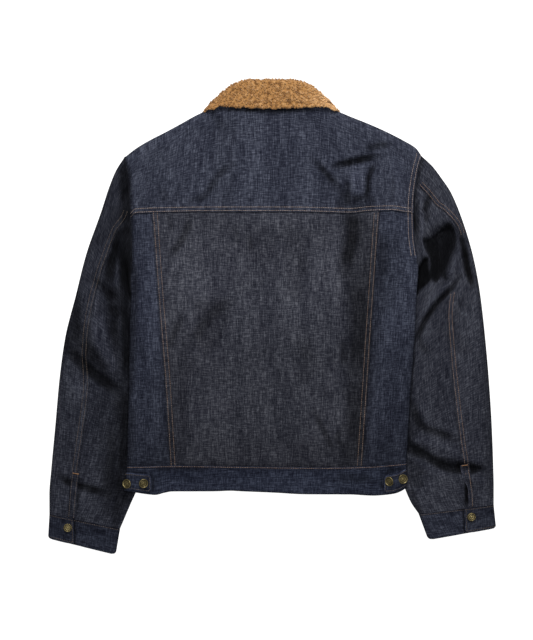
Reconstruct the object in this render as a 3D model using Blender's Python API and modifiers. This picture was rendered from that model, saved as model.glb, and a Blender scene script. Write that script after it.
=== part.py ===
"""Sherpa lined denim jacket, buttoned up and laid face down, so that its back shows.

Frame: metres, +Z up off the surface that it lies on, +Y towards the collar, +X to the right.
The sizes below are in millimetres. Left and right are those of the wearer, whose left is at -X.
"""

import math

import bmesh
import bpy
import numpy as np
from mathutils import Matrix, Vector

MM = 0.001

# Walls of cloth: denim with its lining pressed against it, and the collar's two layers.
BODY_WALL = 4.0
SLEEVE_WALL = 3.0
BAND_WALL = 2.6
TAB_WALL = 2.2
STRIP_WALL = 1.2
PILE_WALL = 4.2
UNDERCOLLAR_WALL = 2.0
SEAM_GAP = 0.3
ARMHOLE_GAP = {"up": 0.9, "down": 1.6}
BACK_SEAM_GAP = 0.5
EDGE_GAP = 1.0
UNDER_GAP = 2.2
TAB_LIFT = 1.1  # the tabs lie this far off the waistband
TURN = 1.5  # the strip beside a seam that lies level with the piece across it

# Heights.
SLEEVE_BED = 17.0  # what the sleeves under the body's sides lift them by
BED_RAMP = (44.0, -10.0)  # that lift runs out from here inside the sleeve's edge to here
COLLAR_BED = 8.0  # what the collar's ends under the fronts lift them by
SIDE_ROUND = 14.0
SHOULDER_ROUND = 17.0
ARMHOLE_DIP = 0.2  # share of the half thickness that the armhole seams sink by
STAND_RISE = 4.6  # the collar's stand and fall, from the level between back and front
FALL_RISE = 14.75
NECK_LEVEL = 19.0

# The front closure: left over right, with the buttons' heads underneath.
LAP = 21.0
BUTTON_ROWS = (-283.0, -174.0, -65.0, 44.0, 153.0, 262.0)
BUTTON_THICK = 3.0
BUTTON_RADIUS = 8.5
CUFF_BUTTON_RADIUS = 7.5
BUTTON_STEPS = 14

UNDERARM_Y = {"left": 46.0, "right": 88.0}
WAY = {"left": 1, "right": -1}  # from a side inwards
CENTRE_X = 1.5  # of the collar

COLOURS = {
    "denim": ((0.045, 0.055, 0.095, 1.0), 0.85, 0.0),
    "sherpa": ((0.52, 0.33, 0.16, 1.0), 0.95, 0.0),
    "brass": ((0.34, 0.27, 0.12, 1.0), 0.38, 0.9),
}


def mix(first, second, share):
    return first + (second - first) * share


def smooth(low, high, value):
    """0 at low, 1 at high, and an even curve between."""
    share = min(1.0, max(0.0, (value - low) / (high - low)))
    return share * share * (3.0 - 2.0 * share)


def bulge(distance, width):
    """The rise of a rounded edge: 0 at the edge itself and 1 from width inwards."""
    share = min(1.0, max(0.0, distance / width))
    return math.sqrt(1.0 - (1.0 - share) ** 2)


class Table:
    """Rows of named columns, read between the rows along a curve that doesn't overshoot."""

    def __init__(self, names, *rows):
        self.names = names.split()
        self.rows = np.array(rows, float)
        rises = np.diff(self.rows, axis=0) / np.diff(self.rows[:, 0])[:, None]
        before, after = rises[:-1], rises[1:]
        same_way = before * after > 0
        total = np.where(same_way, before + after, 1.0)
        self.slopes = np.zeros_like(self.rows)
        self.slopes[0], self.slopes[-1] = rises[0], rises[-1]
        self.slopes[1:-1] = np.where(same_way, 2 * before * after / total, 0.0)

    def __call__(self, name, key):
        column = self.names.index(name)
        keys = self.rows[:, 0]
        key = min(max(key, keys[0]), keys[-1])
        i = min(int(np.searchsorted(keys, key, side="right")) - 1, len(keys) - 2)
        step = keys[i + 1] - keys[i]
        t = (key - keys[i]) / step
        low, high = self.rows[i : i + 2, column]
        slope_low, slope_high = self.slopes[i : i + 2, column]
        return float(
            low * (1 + 2 * t) * (1 - t) ** 2
            + high * t * t * (3 - 2 * t)
            + step * (slope_low * t * (1 - t) ** 2 + slope_high * t * t * (t - 1))
        )


# The body seen from above: its side edges, which are the armhole seams above the underarm,
# and how far the sleeves reach in under it.
BODY_EDGE = Table(
    "y left right",
    (-305, -256, 237),
    (-262, -251, 238),
    (-200, -249.5, 241),
    (-146, -248, 244),
    (-83, -247, 249),
    (-24, -246, 253),
    (46, -244, 256),
    (88, -244, 259),
    (111, -244, 255),
    (143, -244.5, 251),
    (186, -245.5, 250),
    (213, -247, 251.5),
    (239, -248, 255),
    (265, -253, 260),
    (281, -257, 265),
)
SLEEVE_REACH = Table(
    "y left right",
    (-330, -246, 246),
    (-288, -228, 233),
    (-232, -213, 226),
    (-176, -202, 220),
    (-120, -200, 219),
    (-67, -206, 223),
    (-24, -218, 230),
    (8, -234, 240),
    (46, -246, 251),
    (88, -250, 260),
)
# The shoulders' folds and the back's neck seam, and the fronts' neckline between the folds.
BACK_TOP = Table(
    "x y",
    (-257, 278),
    (-235, 295),
    (-211, 309),
    (-183, 323),
    (-157, 337),
    (-132, 351),
    (-115, 359),
    (-99, 364.5),
    (-60, 373),
    (0, 377),
    (60, 373),
    (102, 364.5),
    (118, 359),
    (137, 351),
    (172, 337),
    (204, 323),
    (232, 309),
    (255, 295),
    (265, 281),
)
FRONT_NECK = Table(
    "x y",
    (-99, 364.5),
    (-92, 347),
    (-80, 331),
    (-60, 311),
    (-36, 297),
    (0, 290),
    (40, 297),
    (63, 311),
    (83, 331),
    (95, 347),
    (102, 364.5),
)
YOKE_SEAM = Table(
    "x y",
    (-260, 178),
    (-200, 182),
    (-100, 182.5),
    (40, 182.5),
    (130, 181.5),
    (200, 183.5),
    (260, 181),
)
BAND_SEAM = Table("x y", (-251, -262), (-181, -261), (94, -264), (179, -262), (238, -256))
HEM = Table(
    "x y",
    (-256, -305),
    (-237, -308),
    (-204, -312),
    (-176, -309),
    (-78, -305),
    (-20, -303),
    (94, -311),
    (179, -313),
    (214, -309),
    (237, -300),
)
BACK_SEAMS = Table(
    "y left right",
    (-262, -176, 161),
    (-111, -184.5, 170.5),
    (3, -194, 178),
    (97, -201, 184.5),
    (183, -207, 190.5),
)
# How thick the body lies, level by level, from one face to the other.
BODY_THICK = Table(
    "y middle side",
    (-315, 15.5, 11.5),
    (-262, 19, 12.5),
    (-215, 26, 16),
    (-100, 29, 17),
    (0, 30, 17),
    (100, 29, 19),
    (186, 28, 24),
    (265, 25, 24.5),
    (340, 23, 24),
    (376, 22.6, 23),
)
# Each sleeve's sections, from the armhole to the cuff: both ends of each, where the back seam
# crosses it (as a share from the outer end), and how thick it is outside and under the body.
SLEEVE = {
    "left": Table(
        "along outer_x outer_y inner_x inner_y seam thick tucked",
        (0.00, -257, 278, -244, 46, 0.42, 25, 25),
        (0.06, -271, 256, -245.5, 32, 0.38, 25, 21),
        (0.11, -283, 226, -243, 18, 0.35, 26, 15.5),
        (0.16, -297, 183, -237, 4, 0.335, 27, 13.5),
        (0.26, -323, 109, -218, -24, 0.27, 28, 13.5),
        (0.36, -340, 36, -206, -67, 0.22, 28, 13.5),
        (0.47, -358, -38, -200, -120, 0.225, 28, 13.5),
        (0.58, -370, -111, -202, -176, 0.28, 27, 13),
        (0.69, -377, -188, -213, -232, 0.275, 25, 12.5),
        (0.80, -384, -262, -228, -288, 0.285, 22, 12),
        (0.90, -388, -312, -246, -330, 0.315, 19, 13),
        (1.00, -388, -346, -264, -372, 0.335, 16, 14),
    ),
    "right": Table(
        "along outer_x outer_y inner_x inner_y seam thick tucked",
        (0.00, 265, 281, 259, 88, 0.24, 25, 25),
        (0.05, 282, 262, 260, 73, 0.21, 25, 21.5),
        (0.09, 298, 240, 257.5, 59, 0.18, 26, 16.5),
        (0.13, 314, 216, 249, 40, 0.15, 27, 13.5),
        (0.22, 337, 160, 237, 4, 0.075, 28, 13.5),
        (0.31, 354, 102, 227, -38, 0.28, 28, 13.5),
        (0.40, 365, 43, 220, -87, 0.355, 28, 13.5),
        (0.50, 374, -32, 218, -143, 0.355, 28, 13.5),
        (0.61, 381, -111, 221, -199, 0.35, 27, 13),
        (0.72, 386, -188, 227, -244, 0.34, 25, 12.5),
        (0.83, 389, -262, 233, -290, 0.315, 21, 12),
        (0.92, 390, -300, 246, -325, 0.315, 18, 13),
        (1.00, 390, -330, 260, -346, 0.34, 16, 14),
    ),
}
CUFF = {
    "left": Table(
        "along outer_x outer_y inner_x inner_y seam thick tucked",
        (0.0, -388, -346, -264, -372, 0.34, 15.5, 14),
        (1.0, -390, -384, -272, -414, 0.39, 14, 14),
    ),
    "right": Table(
        "along outer_x outer_y inner_x inner_y seam thick tucked",
        (0.0, 390, -330, 260, -346, 0.385, 15.5, 14),
        (1.0, 393, -369, 277, -388, 0.44, 14, 14),
    ),
}
# One half of the collar, from its middle at the back to its point at the front: the plan of its
# neck edge, its fold and its outer edge, and how far it has turned over, in degrees.
COLLAR = Table(
    "along neck_x neck_y fold_x fold_y edge_x edge_y turned",
    (0.00, 0, 372, 0, 406.5, 0, 361.5, 0),
    (0.12, 32, 370.5, 39, 406, 38, 362.5, 0),
    (0.23, 58, 368, 66, 397, 72, 364.5, 0),
    (0.32, 76, 364, 84, 382, 95, 366, 8),
    (0.40, 82, 361, 88, 374, 106, 360, 45),
    (0.47, 83, 355, 90, 368, 109, 352, 90),
    (0.53, 83, 349, 86, 366, 112, 354, 150),
    (0.59, 82, 340, 80, 352, 118, 350, 170),
    (0.68, 79, 328, 72, 337, 121, 328, 180),
    (0.82, 62, 308, 56, 317, 116, 286, 180),
    (1.00, 40, 294, 35, 303, 92, 242, 180),
)
# The largest folds of the back and of the sleeves' upper faces: from where to where, how wide
# each is and how deep it sinks.
FOLDS = (
    {"from": (300, 130), "to": (292, 70), "width": 34, "depth": 7.0},
    {"from": (-284, 130), "to": (-262, 62), "width": 30, "depth": 6.0},
    {"from": (142, 186), "to": (137, -80), "width": 40, "depth": 2.5},
)
HEM_TAB = {
    "left": {"tip": -209.0, "low": 3.5, "high": 31.0, "buttons": ((-250.0, -4.5), (-222.0, 1.0))},
    "right": {"tip": 199.0, "low": 3.5, "high": 33.0, "buttons": ((231.0, 1.0), (208.5, 4.5))},
}
CUFF_BUTTONS = {"left": (-355.0, -370.0), "right": (352.0, -351.0)}


# ------------------------------------------------------------------ the body's two faces


def side_distance(x, y):
    """How far a point of the body lies in from the nearer side edge, and which side that is."""
    from_left, from_right = x - BODY_EDGE("left", y), BODY_EDGE("right", y) - x
    return (from_left, "left") if from_left < from_right else (from_right, "right")


def top_distance(x, y):
    """How far a point lies below the shoulder's fold, square to the fold."""
    slope = (BACK_TOP("y", x + 4) - BACK_TOP("y", x - 4)) / 8
    return (BACK_TOP("y", x) - y) / math.hypot(1.0, slope)


def bed(x, y):
    """The height of the sleeves and of the collar's ends, which the body lies on."""
    _, side = side_distance(x, y)
    inside = (x - SLEEVE_REACH(side, y)) * WAY[side]
    sleeve = SLEEVE_BED * smooth(*BED_RAMP, inside)
    underarm = UNDERARM_Y[side]
    sleeve *= smooth(underarm + 58, underarm - 42, y) * mix(0.92, 1.0, smooth(-305, -180, y))
    reach = math.hypot((x - CENTRE_X) / 200, (y - 320) / 175)
    return max(sleeve, COLLAR_BED * smooth(1.25, 0.85, reach))


def edge_rounding(x, y):
    """How much of the half thickness is lost to the rounded sides and shoulders, 0 to 1."""
    inwards, side = side_distance(x, y)
    armhole = bulge(y - UNDERARM_Y[side], 22.0)
    folded = 1.0 - bulge(inwards, 0.82 * BODY_THICK("side", y))
    seamed = ARMHOLE_DIP * smooth(8.0, 0.0, inwards)
    shoulder = smooth(98.0, 120.0, abs(x - CENTRE_X))
    over_top = (1.0 - bulge(top_distance(x, y), SHOULDER_ROUND)) * shoulder
    return max(mix(folded, seamed, armhole), over_top)


def thickness(x, y):
    inwards, _ = side_distance(x, y)
    return mix(BODY_THICK("side", y), BODY_THICK("middle", y), smooth(0.0, 70.0, inwards))


def folds(x, y):
    """How far the largest folds sink the cloth at a point."""
    depth = 0.0
    for fold in FOLDS:
        (x1, y1), (x2, y2) = fold["from"], fold["to"]
        length = math.hypot(x2 - x1, y2 - y1)
        along = ((x - x1) * (x2 - x1) + (y - y1) * (y2 - y1)) / length
        aside = ((x - x1) * (y2 - y1) - (y - y1) * (x2 - x1)) / length
        beyond = max(0.0, -along, along - length)
        depth += fold["depth"] * smooth(fold["width"], 0.0, math.hypot(aside, beyond))
    return depth


def back_z(x, y):
    """The outer face of the back."""
    inwards, _ = side_distance(x, y)
    level = bed(x, y) + thickness(x, y) * (1.0 - 0.5 * edge_rounding(x, y))
    return level - folds(x, y) * smooth(0.0, 60.0, inwards)


def front_z(x, y):
    """The outer face of the fronts, which lie under the back."""
    return bed(x, y) + 0.5 * thickness(x, y) * edge_rounding(x, y)


def lap_lift(side, x):
    """What the buttons' heads, and under the right front the left one, lift the laps by."""
    if side == "left":
        return (BUTTON_THICK + SEAM_GAP) * smooth(-LAP - 26, -LAP + 6, x)
    return (BUTTON_THICK + BODY_WALL + 2 * SEAM_GAP) * smooth(LAP + 50, LAP + 16, x)


def on_back(x, y):
    """A point of the back's outer face, and the direction that the face looks in there."""
    step = 1.0
    along_x = Vector((2 * step, 0.0, back_z(x + step, y) - back_z(x - step, y)))
    along_y = Vector((0.0, 2 * step, back_z(x, y + step) - back_z(x, y - step)))
    return Vector((x, y, back_z(x, y))), along_x.cross(along_y).normalized()


# ------------------------------------------------------------------ laying out the points

EDGE_TURNS = (0.0, 0.2, 0.58, 1.05, math.pi / 2)  # angles round a folded edge


def stops(length, steps, first=0.0, last=0.0):
    """Shares of a length in even steps. At a seam there is a narrow step, and at an end that
    is folded over, with the width that it is rounded over, there are close ones."""

    def near(rounded):
        if rounded:
            return [rounded * (1 - math.cos(angle)) for angle in EDGE_TURNS]
        return [0.0, TURN]

    begin, end = near(first), near(last)
    inner = np.linspace(begin[-1], length - end[-1], steps + 1)[1:-1]
    places = begin + list(inner) + [length - place for place in end[::-1]]
    return [place / length for place in places]


BODY_ROWS = (-205, -145, -85, -30, 4, 25, 46, 68, 90, 118, 150)


def panel_levels(low, high, last=0.0):
    """A column's levels on the body's common rows, so that the side seams' edges match."""
    shares = stops(high - low, 1, last=last)
    own = [mix(low, high, share) for share in shares]
    rows = [y for y in (*BODY_ROWS, 190, 230) if y < own[2] - 8]
    return own[:2] + rows + own[2:]


def between(left, right, low, high, shares, levels):
    """Rows of (x, y), bottom to top, between four edges. The side edges are functions of y, the
    lower and upper ones of x, and levels gives the rows' heights between those two."""
    columns = []
    for share in shares:
        x = mix(left(0), right(0), share)
        column = []
        for row in range(len(levels(low(x), high(x)))):
            for _ in range(4):
                y = levels(low(x), high(x))[row]
                x = mix(left(y), right(y), share)
            column.append((x, y))
        columns.append(column)
    return [list(row) for row in zip(*columns)]


def raised(rows, height):
    """The rows with their heights. Where an edge is folded over, its outermost strip stands
    upright, so that the two faces meet squarely there."""
    placed = [[(x, y, height(x, y)) for x, y in row] for row in rows]
    for row in placed:
        row[0], row[-1] = upright(row[0], row[1]), upright(row[-1], row[-2])
    placed[-1] = [upright(last, inner) for last, inner in zip(placed[-1], placed[-2])]
    return placed


def upright(edge, inner):
    x, y, z = edge
    if math.hypot(x - inner[0], y - inner[1]) > 0.9 * TURN:
        return edge
    closed = (edge_rounding(x, y) - ARMHOLE_DIP) / (1.0 - ARMHOLE_DIP)
    closed = max(0.0, closed)
    middle = bed(x, y) + 0.5 * thickness(x, y)
    apart = max(0.5 * EDGE_GAP, abs(z - middle))
    z = middle + math.copysign(apart, inner[2] - middle)
    return mix(x, inner[0], closed), mix(y, inner[1], closed), z


def moved_out(rows, distance):
    """The rows again, each point moved along the normal of the surface that they make."""
    points = np.array(rows, float)
    across = np.gradient(points, axis=1)
    up = np.gradient(points, axis=0)
    normals = np.cross(across, up)
    normals /= np.linalg.norm(normals, axis=2, keepdims=True)
    return (points + normals * distance).tolist()


def turned_over(rows):
    """The rows as seen from below, so that their cloth faces down."""
    return [row[::-1] for row in rows]


# ------------------------------------------------------------------ making the pieces


def material_for(finish):
    """The piece's own material, in its finish's colour."""
    colour, roughness, metallic = COLOURS[finish]
    material = bpy.data.materials.new(finish)
    material.use_nodes = True
    shader = material.node_tree.nodes["Principled BSDF"]
    shader.inputs["Base Color"].default_value = colour
    shader.inputs["Roughness"].default_value = roughness
    shader.inputs["Metallic"].default_value = metallic
    return material


def place(name, mesh, finish):
    piece = bpy.data.objects.new(name, mesh)
    mesh.materials.append(material_for(finish))
    bpy.data.collections["sherpa_lined_jacket"].objects.link(piece)
    return piece


def cloth(name, rows, wall, finish="denim", offset=-1.0):
    """A panel of cloth: a grid bent to the rows of points, given its thickness by Solidify.

    Seen from outside, each row runs to the right and the rows follow each other upwards.
    """
    across, up = len(rows[0]) - 1, len(rows) - 1
    bm = bmesh.new()
    bmesh.ops.create_grid(bm, x_segments=across, y_segments=up, size=1.0)
    for vert in bm.verts:
        column = round((vert.co.x + 1) / 2 * across)
        row = round((vert.co.y + 1) / 2 * up)
        vert.co = Vector(rows[row][column]) * MM
    mesh = bpy.data.meshes.new(name)
    bm.to_mesh(mesh)
    bm.free()
    mesh.shade_smooth()
    piece = place(name, mesh, finish)
    solidify = piece.modifiers.new("cloth", "SOLIDIFY")
    solidify.thickness = wall * MM
    solidify.offset = offset
    return piece


def button(name, radius, spot, facing):
    """A turned button, with a raised rim round its face, its back at the spot."""
    profile = (
        (0.0, 0.78),
        (0.66, 0.78),
        (0.80, 1.0),
        (0.94, 0.82),
        (1.0, 0.45),
        (0.80, 0.0),
        (0.0, 0.0),
    )
    mesh = bpy.data.meshes.new(name)
    points = [(radius * r * MM, 0.0, BUTTON_THICK * z * MM) for r, z in profile]
    mesh.from_pydata(points, [(i, i + 1) for i in range(len(points) - 1)], [])
    piece = place(name, mesh, "brass")
    screw = piece.modifiers.new("turned", "SCREW")
    screw.axis = "Z"
    screw.angle = math.tau
    screw.steps = screw.render_steps = BUTTON_STEPS
    screw.use_merge_vertices = True
    screw.merge_threshold = 0.00001
    upright = Vector((0.0, 0.0, 1.0)).rotation_difference(facing).to_matrix().to_4x4()
    piece.matrix_world = Matrix.Translation(spot * MM) @ upright
    return piece


def back_pieces():
    """The yoke across the shoulders, and the three panels below it."""
    half = SEAM_GAP / 2

    def left_edge(y):
        return BODY_EDGE("left", y)

    def right_edge(y):
        return BODY_EDGE("right", y)

    def left_seam(y):
        return BACK_SEAMS("left", y)

    def right_seam(y):
        return BACK_SEAMS("right", y)

    def above_band(x):
        return BAND_SEAM("y", x) + half

    def below_yoke(x):
        return YOKE_SEAM("y", x) - half

    def yoke_foot(x):
        return YOKE_SEAM("y", x) + half

    def top(x):
        return BACK_TOP("y", x)

    def yoke_levels(low, high):
        shares = stops(high - low, 6, last=SHOULDER_ROUND * 1.12)
        return [mix(low, high, share) for share in shares]

    yoke = between(left_edge, right_edge, yoke_foot, top, stops(500, 19), yoke_levels)
    cloth("back_yoke", raised(yoke, back_z), BODY_WALL)
    side = stops(50, 2, first=SIDE_ROUND)
    centre = between(
        lambda y: left_seam(y) + half,
        lambda y: right_seam(y) - half,
        above_band,
        below_yoke,
        stops(350, 11),
        panel_levels,
    )
    cloth("back_centre", raised(centre, back_z), BODY_WALL)
    left = between(left_edge, lambda y: left_seam(y) - half, above_band, below_yoke, side, panel_levels)
    cloth("back_side_left", raised(left, back_z), BODY_WALL)
    side = stops(70, 3, first=SIDE_ROUND)
    side = [1 - share for share in side[::-1]]
    right = between(
        lambda y: right_seam(y) + half, right_edge, above_band, below_yoke, side, panel_levels
    )
    cloth("back_side_right", raised(right, back_z), BODY_WALL)


def front_pieces(side):
    """One front, from the side seam and the armhole to its lap past the middle."""

    def outer(y):
        return BODY_EDGE(side, y)

    def lap(_):
        return LAP * WAY[side]

    def foot(x):
        return BAND_SEAM("y", x) + SEAM_GAP / 2

    def top(x):
        return FRONT_NECK("y", x) if -99 < x < 102 else BACK_TOP("y", x)

    def height(x, y):
        return front_z(x, y) + lap_lift(side, x)

    def levels(low, high):
        return panel_levels(low, high, SHOULDER_ROUND * 1.12)

    shares = stops(270, 10, first=SIDE_ROUND)
    rows = raised(between(outer, lap, foot, top, shares, levels), height)
    cloth("front_" + side, turned_over(rows) if side == "left" else rows, BODY_WALL)


def waistband_pieces():
    """The waistband's back, from side to side, and its two fronts, which lap like the fronts."""

    def top(x):
        return BAND_SEAM("y", x) - SEAM_GAP / 2

    def hem(x):
        return HEM("y", x)

    def levels(low, high):
        return [mix(low, high, share) for share in stops(high - low, 2)]

    def left_edge(y):
        return BODY_EDGE("left", y)

    def right_edge(y):
        return BODY_EDGE("right", y)

    half = stops(250, 12, first=SIDE_ROUND)
    shares = [share / 2 for share in half[:-1]] + [1 - share / 2 for share in half[:-2][::-1]]
    back = between(left_edge, right_edge, hem, top, shares, levels)
    cloth("waistband_back", raised(back, back_z), BAND_WALL)
    for side in ("left", "right"):

        def height(x, y, side=side):
            return front_z(x, y) + lap_lift(side, x)

        outer = left_edge if side == "left" else right_edge
        front = between(outer, lambda _, side=side: LAP * WAY[side], hem, top, half, levels)
        rows = raised(front, height)
        rows = turned_over(rows) if side == "left" else rows
        cloth("waistband_front_" + side, rows, BAND_WALL)


def hem_tab(side):
    """A short tab round the side of the waistband, with its rounded end on the back."""
    tab, way = HEM_TAB[side], WAY[side]
    length = abs(tab["tip"] - BODY_EDGE(side, -285))
    places = [SIDE_ROUND * (1 - math.cos(angle)) for angle in (0.35, 0.7, 1.1, 1.5)]
    places += [mix(places[-1], length - 7, share) for share in (0.5, 1.0)]
    places += [length - 3.5, length - 1.2, length]
    middle, tall = (tab["low"] + tab["high"]) / 2, (tab["high"] - tab["low"]) / 2
    rows = []
    for level in (-1, -0.7, 0, 0.7, 1):
        row = []
        for from_edge in places:
            x = BODY_EDGE(side, -285) + way * from_edge
            kept = mix(0.45, 1.0, bulge(length - from_edge, 7.0))
            y = HEM("y", x) + middle + level * tall * kept
            row.append((x, y, back_z(x, y)))
        rows.append(row if side == "left" else row[::-1])
    cloth(f"hem_tab_{side}", moved_out(rows, TAB_LIFT), TAB_WALL, offset=1.0)
    for number, (x, higher) in enumerate(tab["buttons"], 1):
        spot, facing = on_back(x, HEM("y", x) + middle + higher)
        lift = TAB_LIFT + TAB_WALL + 2 * SEAM_GAP
        name = f"hem_button_{side}_{number}"
        button(name, BUTTON_RADIUS, spot + facing * lift, facing)


# ------------------------------------------------------------------ sleeves

SLEEVE_LEVELS = [0.0, 0.018, 0.045, 0.08, 0.125, *np.linspace(0.19, 0.93, 11), 0.992, 1.0]
UNDER_SEAM = 0.72  # where the other seam crosses the sections, on the face that lies down


def section_width(table, along):
    return math.hypot(
        table("outer_x", along) - table("inner_x", along),
        table("outer_y", along) - table("inner_y", along),
    )


def section_height(table, along, share, face):
    """The height of a section, share of the way from its outer end to its inner one."""
    width = section_width(table, along)
    thick, tucked = table("thick", along), table("tucked", along)
    crown = mix(thick, tucked, smooth(0.30, 0.80, share))
    loss = 1.0 - min(
        bulge(share * width, 0.62 * thick), bulge((1 - share) * width, 0.85 * tucked)
    )
    return crown * (0.5 * loss if face == "down" else 1.0 - 0.5 * loss)


def section_point(table, along, share, face):
    x = mix(table("outer_x", along), table("inner_x", along), share)
    y = mix(table("outer_y", along), table("inner_y", along), share)
    return x, y, section_height(table, along, share, face)


def sleeve_point(side, along, share, face):
    """A point of a sleeve. Its first section follows the armhole."""
    table = SLEEVE[side]
    x, y, z = section_point(table, along, share, face)
    if face == "up":
        z -= folds(x, y) * smooth(0.0, 0.12, share) * smooth(1.0, 0.85, share)
    held = smooth(0.12, 0.03, along)
    if held:
        start_x = mix(table("outer_x", 0), table("inner_x", 0), share)
        corner = max(smooth(0.12, 0.0, share), smooth(0.8, 0.97, share))
        gap = ARMHOLE_GAP[face] * (1.0 + 3.0 * corner)
        x += (BODY_EDGE(side, y) - WAY[side] * gap - start_x) * held
        hole_y = mix(table("outer_y", 0), table("inner_y", 0), share)
        height = back_z if face == "up" else front_z
        z = mix(z, height(BODY_EDGE(side, hole_y), hole_y), smooth(0.11, 0.018, along))
    return x, y, z


def outer_ring(point, seam, width):
    """From the underarm seam below, round the outer edge, to the back seam above."""
    low, last = UNDER_SEAM - 0.5 * UNDER_GAP / width, seam - 0.5 * BACK_SEAM_GAP / width
    turn = TURN / width
    below = [low, low - turn, *np.linspace(low - turn, 0.10, 4)[1:], 0.045, 0.014, 0.003]
    above = [0.003, 0.014, 0.045, *np.linspace(0.10, last - turn, 3), last]
    if last - turn < 0.12:
        above = [0.001, 0.006, 0.015, *np.linspace(0.025, last - turn, 3), last]
    ring = [point(share, "down") for share in below]
    return ring + [point(0.0, "up")] + [point(share, "up") for share in above]


def inner_ring(point, seam, width):
    """From the back seam above, round the inner edge, to the underarm seam below."""
    first, last = seam + 0.5 * BACK_SEAM_GAP / width, UNDER_SEAM + 0.5 * UNDER_GAP / width
    turn = TURN / width
    above = [first, *np.linspace(first + turn, 0.93, 7), 0.972, 0.994]
    below = [0.994, 0.972, 0.93, *np.linspace(0.93, last + turn, 3)[1:], last]
    ring = [point(share, "up") for share in above] + [point(1.0, "down")]
    return ring + [point(share, "down") for share in below]


def sleeve_pieces(side):
    """Two pieces, joined by the back seam that shows and by the seam that lies underneath."""
    outer_rows, inner_rows = [], []
    for along in SLEEVE_LEVELS:
        seam = SLEEVE[side]("seam", along)
        width = section_width(SLEEVE[side], along)

        def point(share, face, along=along):
            return sleeve_point(side, along, share, face)

        outer_rows.append(outer_ring(point, seam, width))
        inner_rows.append(inner_ring(point, seam, width))
    if side == "left":
        outer_rows, inner_rows = outer_rows[::-1], inner_rows[::-1]
    cloth(f"sleeve_{side}_outer", outer_rows, SLEEVE_WALL)
    cloth(f"sleeve_{side}_inner", inner_rows, SLEEVE_WALL)


def vent_strip(side):
    """The narrow strip over the sleeve's vent, which runs up the back seam from the cuff."""
    rows = []
    for along in np.linspace(0.994, 0.815, 9):
        table = SLEEVE[side]
        seam, width = table("seam", along), section_width(table, along)
        row = [
            sleeve_point(side, along, seam + aside / width, "up")
            for aside in (-9.0, -4.5, 0.0, 3.0)
        ]
        rows.append(row if side == "left" else row[::-1])
    cloth("vent_strip_" + side, moved_out(rows, SEAM_GAP), STRIP_WALL, offset=1.0)


def cuff_ring(side, along):
    """From the buttoned end above, round the outer edge and below, to the end that it covers."""
    table = CUFF[side]
    lap = table("seam", along)
    step = 0.5 * BAND_WALL + 0.25

    def at(share, face, lift=0.0):
        x, y, z = section_point(table, along, share, face)
        return x, y - 1.5 * SEAM_GAP * (1 - along), z + lift

    ring = [at(share, "up", step * smooth(0.04, 0.20, share)) for share in np.linspace(lap, 0.06, 5)]
    ring += [at(share, "up") for share in (0.025, 0.006)]
    ring += [at(share, "down") for share in (0.0, 0.006, 0.025, 0.06, 0.25, 0.45, 0.65, 0.85)]
    ring += [at(share, "down") for share in (0.93, 0.972, 0.994)]
    ring += [at(share, "up") for share in (1.0, 0.994, 0.972, 0.93)]
    for share in np.linspace(0.85, lap - 0.12, 7):
        ring.append(at(share, "up", -step * smooth(0.16, 0.06, share - lap)))
    return ring


def cuff(side):
    rows = [cuff_ring(side, along) for along in (1.0, 0.96, 0.5, 0.04, 0.0)]
    cloth("cuff_" + side, turned_over(rows) if side == "left" else rows, BAND_WALL)
    x, y = CUFF_BUTTONS[side]
    table = CUFF[side]
    share = (x - table("outer_x", 0.5)) / (table("inner_x", 0.5) - table("outer_x", 0.5))
    lift = 0.5 * BAND_WALL + 0.25 + 3 * SEAM_GAP
    spot = Vector((x, y, section_height(table, 0.5, share, "up") + lift))
    button("cuff_button_" + side, CUFF_BUTTON_RADIUS, spot, Vector((0.0, 0.0, 1.0)))


# ------------------------------------------------------------------ collar


def collar_section(half, along):
    """From the outer edge, over the fold, to the neck edge, on the left (-1) or right (1)."""
    angle = math.radians(COLLAR("turned", along))
    outwards = Vector((half * math.sin(angle), 0.0, math.cos(angle)))
    off_shoulder = Vector((half * 0.5 * math.sin(angle), 0.87 * math.sin(angle), math.cos(angle)))
    side = "left" if half < 0 else "right"

    def plan(name):
        x = CENTRE_X + half * COLLAR(name + "_x", along)
        return Vector((x, COLLAR(name + "_y", along), NECK_LEVEL))

    lap = smooth(0.54, 0.70, along)
    neck_x = plan("neck").x
    over_lap = Vector((0.0, 0.0, (lap_lift(side, neck_x) + 0.8) * lap))
    neck = plan("neck") + outwards * STAND_RISE + over_lap
    stand_top = plan("fold") + outwards * STAND_RISE + over_lap
    fall_top = plan("fold") + outwards * FALL_RISE
    edge = plan("edge") + off_shoulder * FALL_RISE
    middle, radius = (stand_top + fall_top) / 2, (fall_top - stand_top).length / 2
    along_fold = (plan("fold") - plan("neck")).normalized()
    across = (fall_top - middle).normalized()
    beyond = (along_fold - across * along_fold.dot(across)).normalized()
    section = [edge.lerp(fall_top, share) for share in (0, 0.04, 0.35, 0.7, 1.0)]
    for step in (1, 2, 3):
        turn = math.pi * step / 4
        section.append(middle + (across * math.cos(turn) + beyond * math.sin(turn)) * radius)
    section += [stand_top.lerp(neck, share) for share in (0, 0.5, 0.94, 1.0)]
    return section


def collar_pieces():
    """The pile of the collar outside, and the denim that backs it, folded in one."""
    stations = (0, 0.12, 0.23, 0.32, 0.36, 0.40, 0.435, 0.47, 0.5, 0.53, 0.59, 0.68, 0.82, 1.0)
    left = [collar_section(-1, along) for along in stations[::-1]]
    right = [collar_section(1, along) for along in stations[1:]]
    rows = [[tuple(point) for point in row] for row in zip(*(left + right))]
    cloth("collar_pile", rows, PILE_WALL, "sherpa", offset=1.0)
    cloth("collar_under", moved_out(rows, -SEAM_GAP), UNDERCOLLAR_WALL)


# ------------------------------------------------------------------ the jacket


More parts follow.
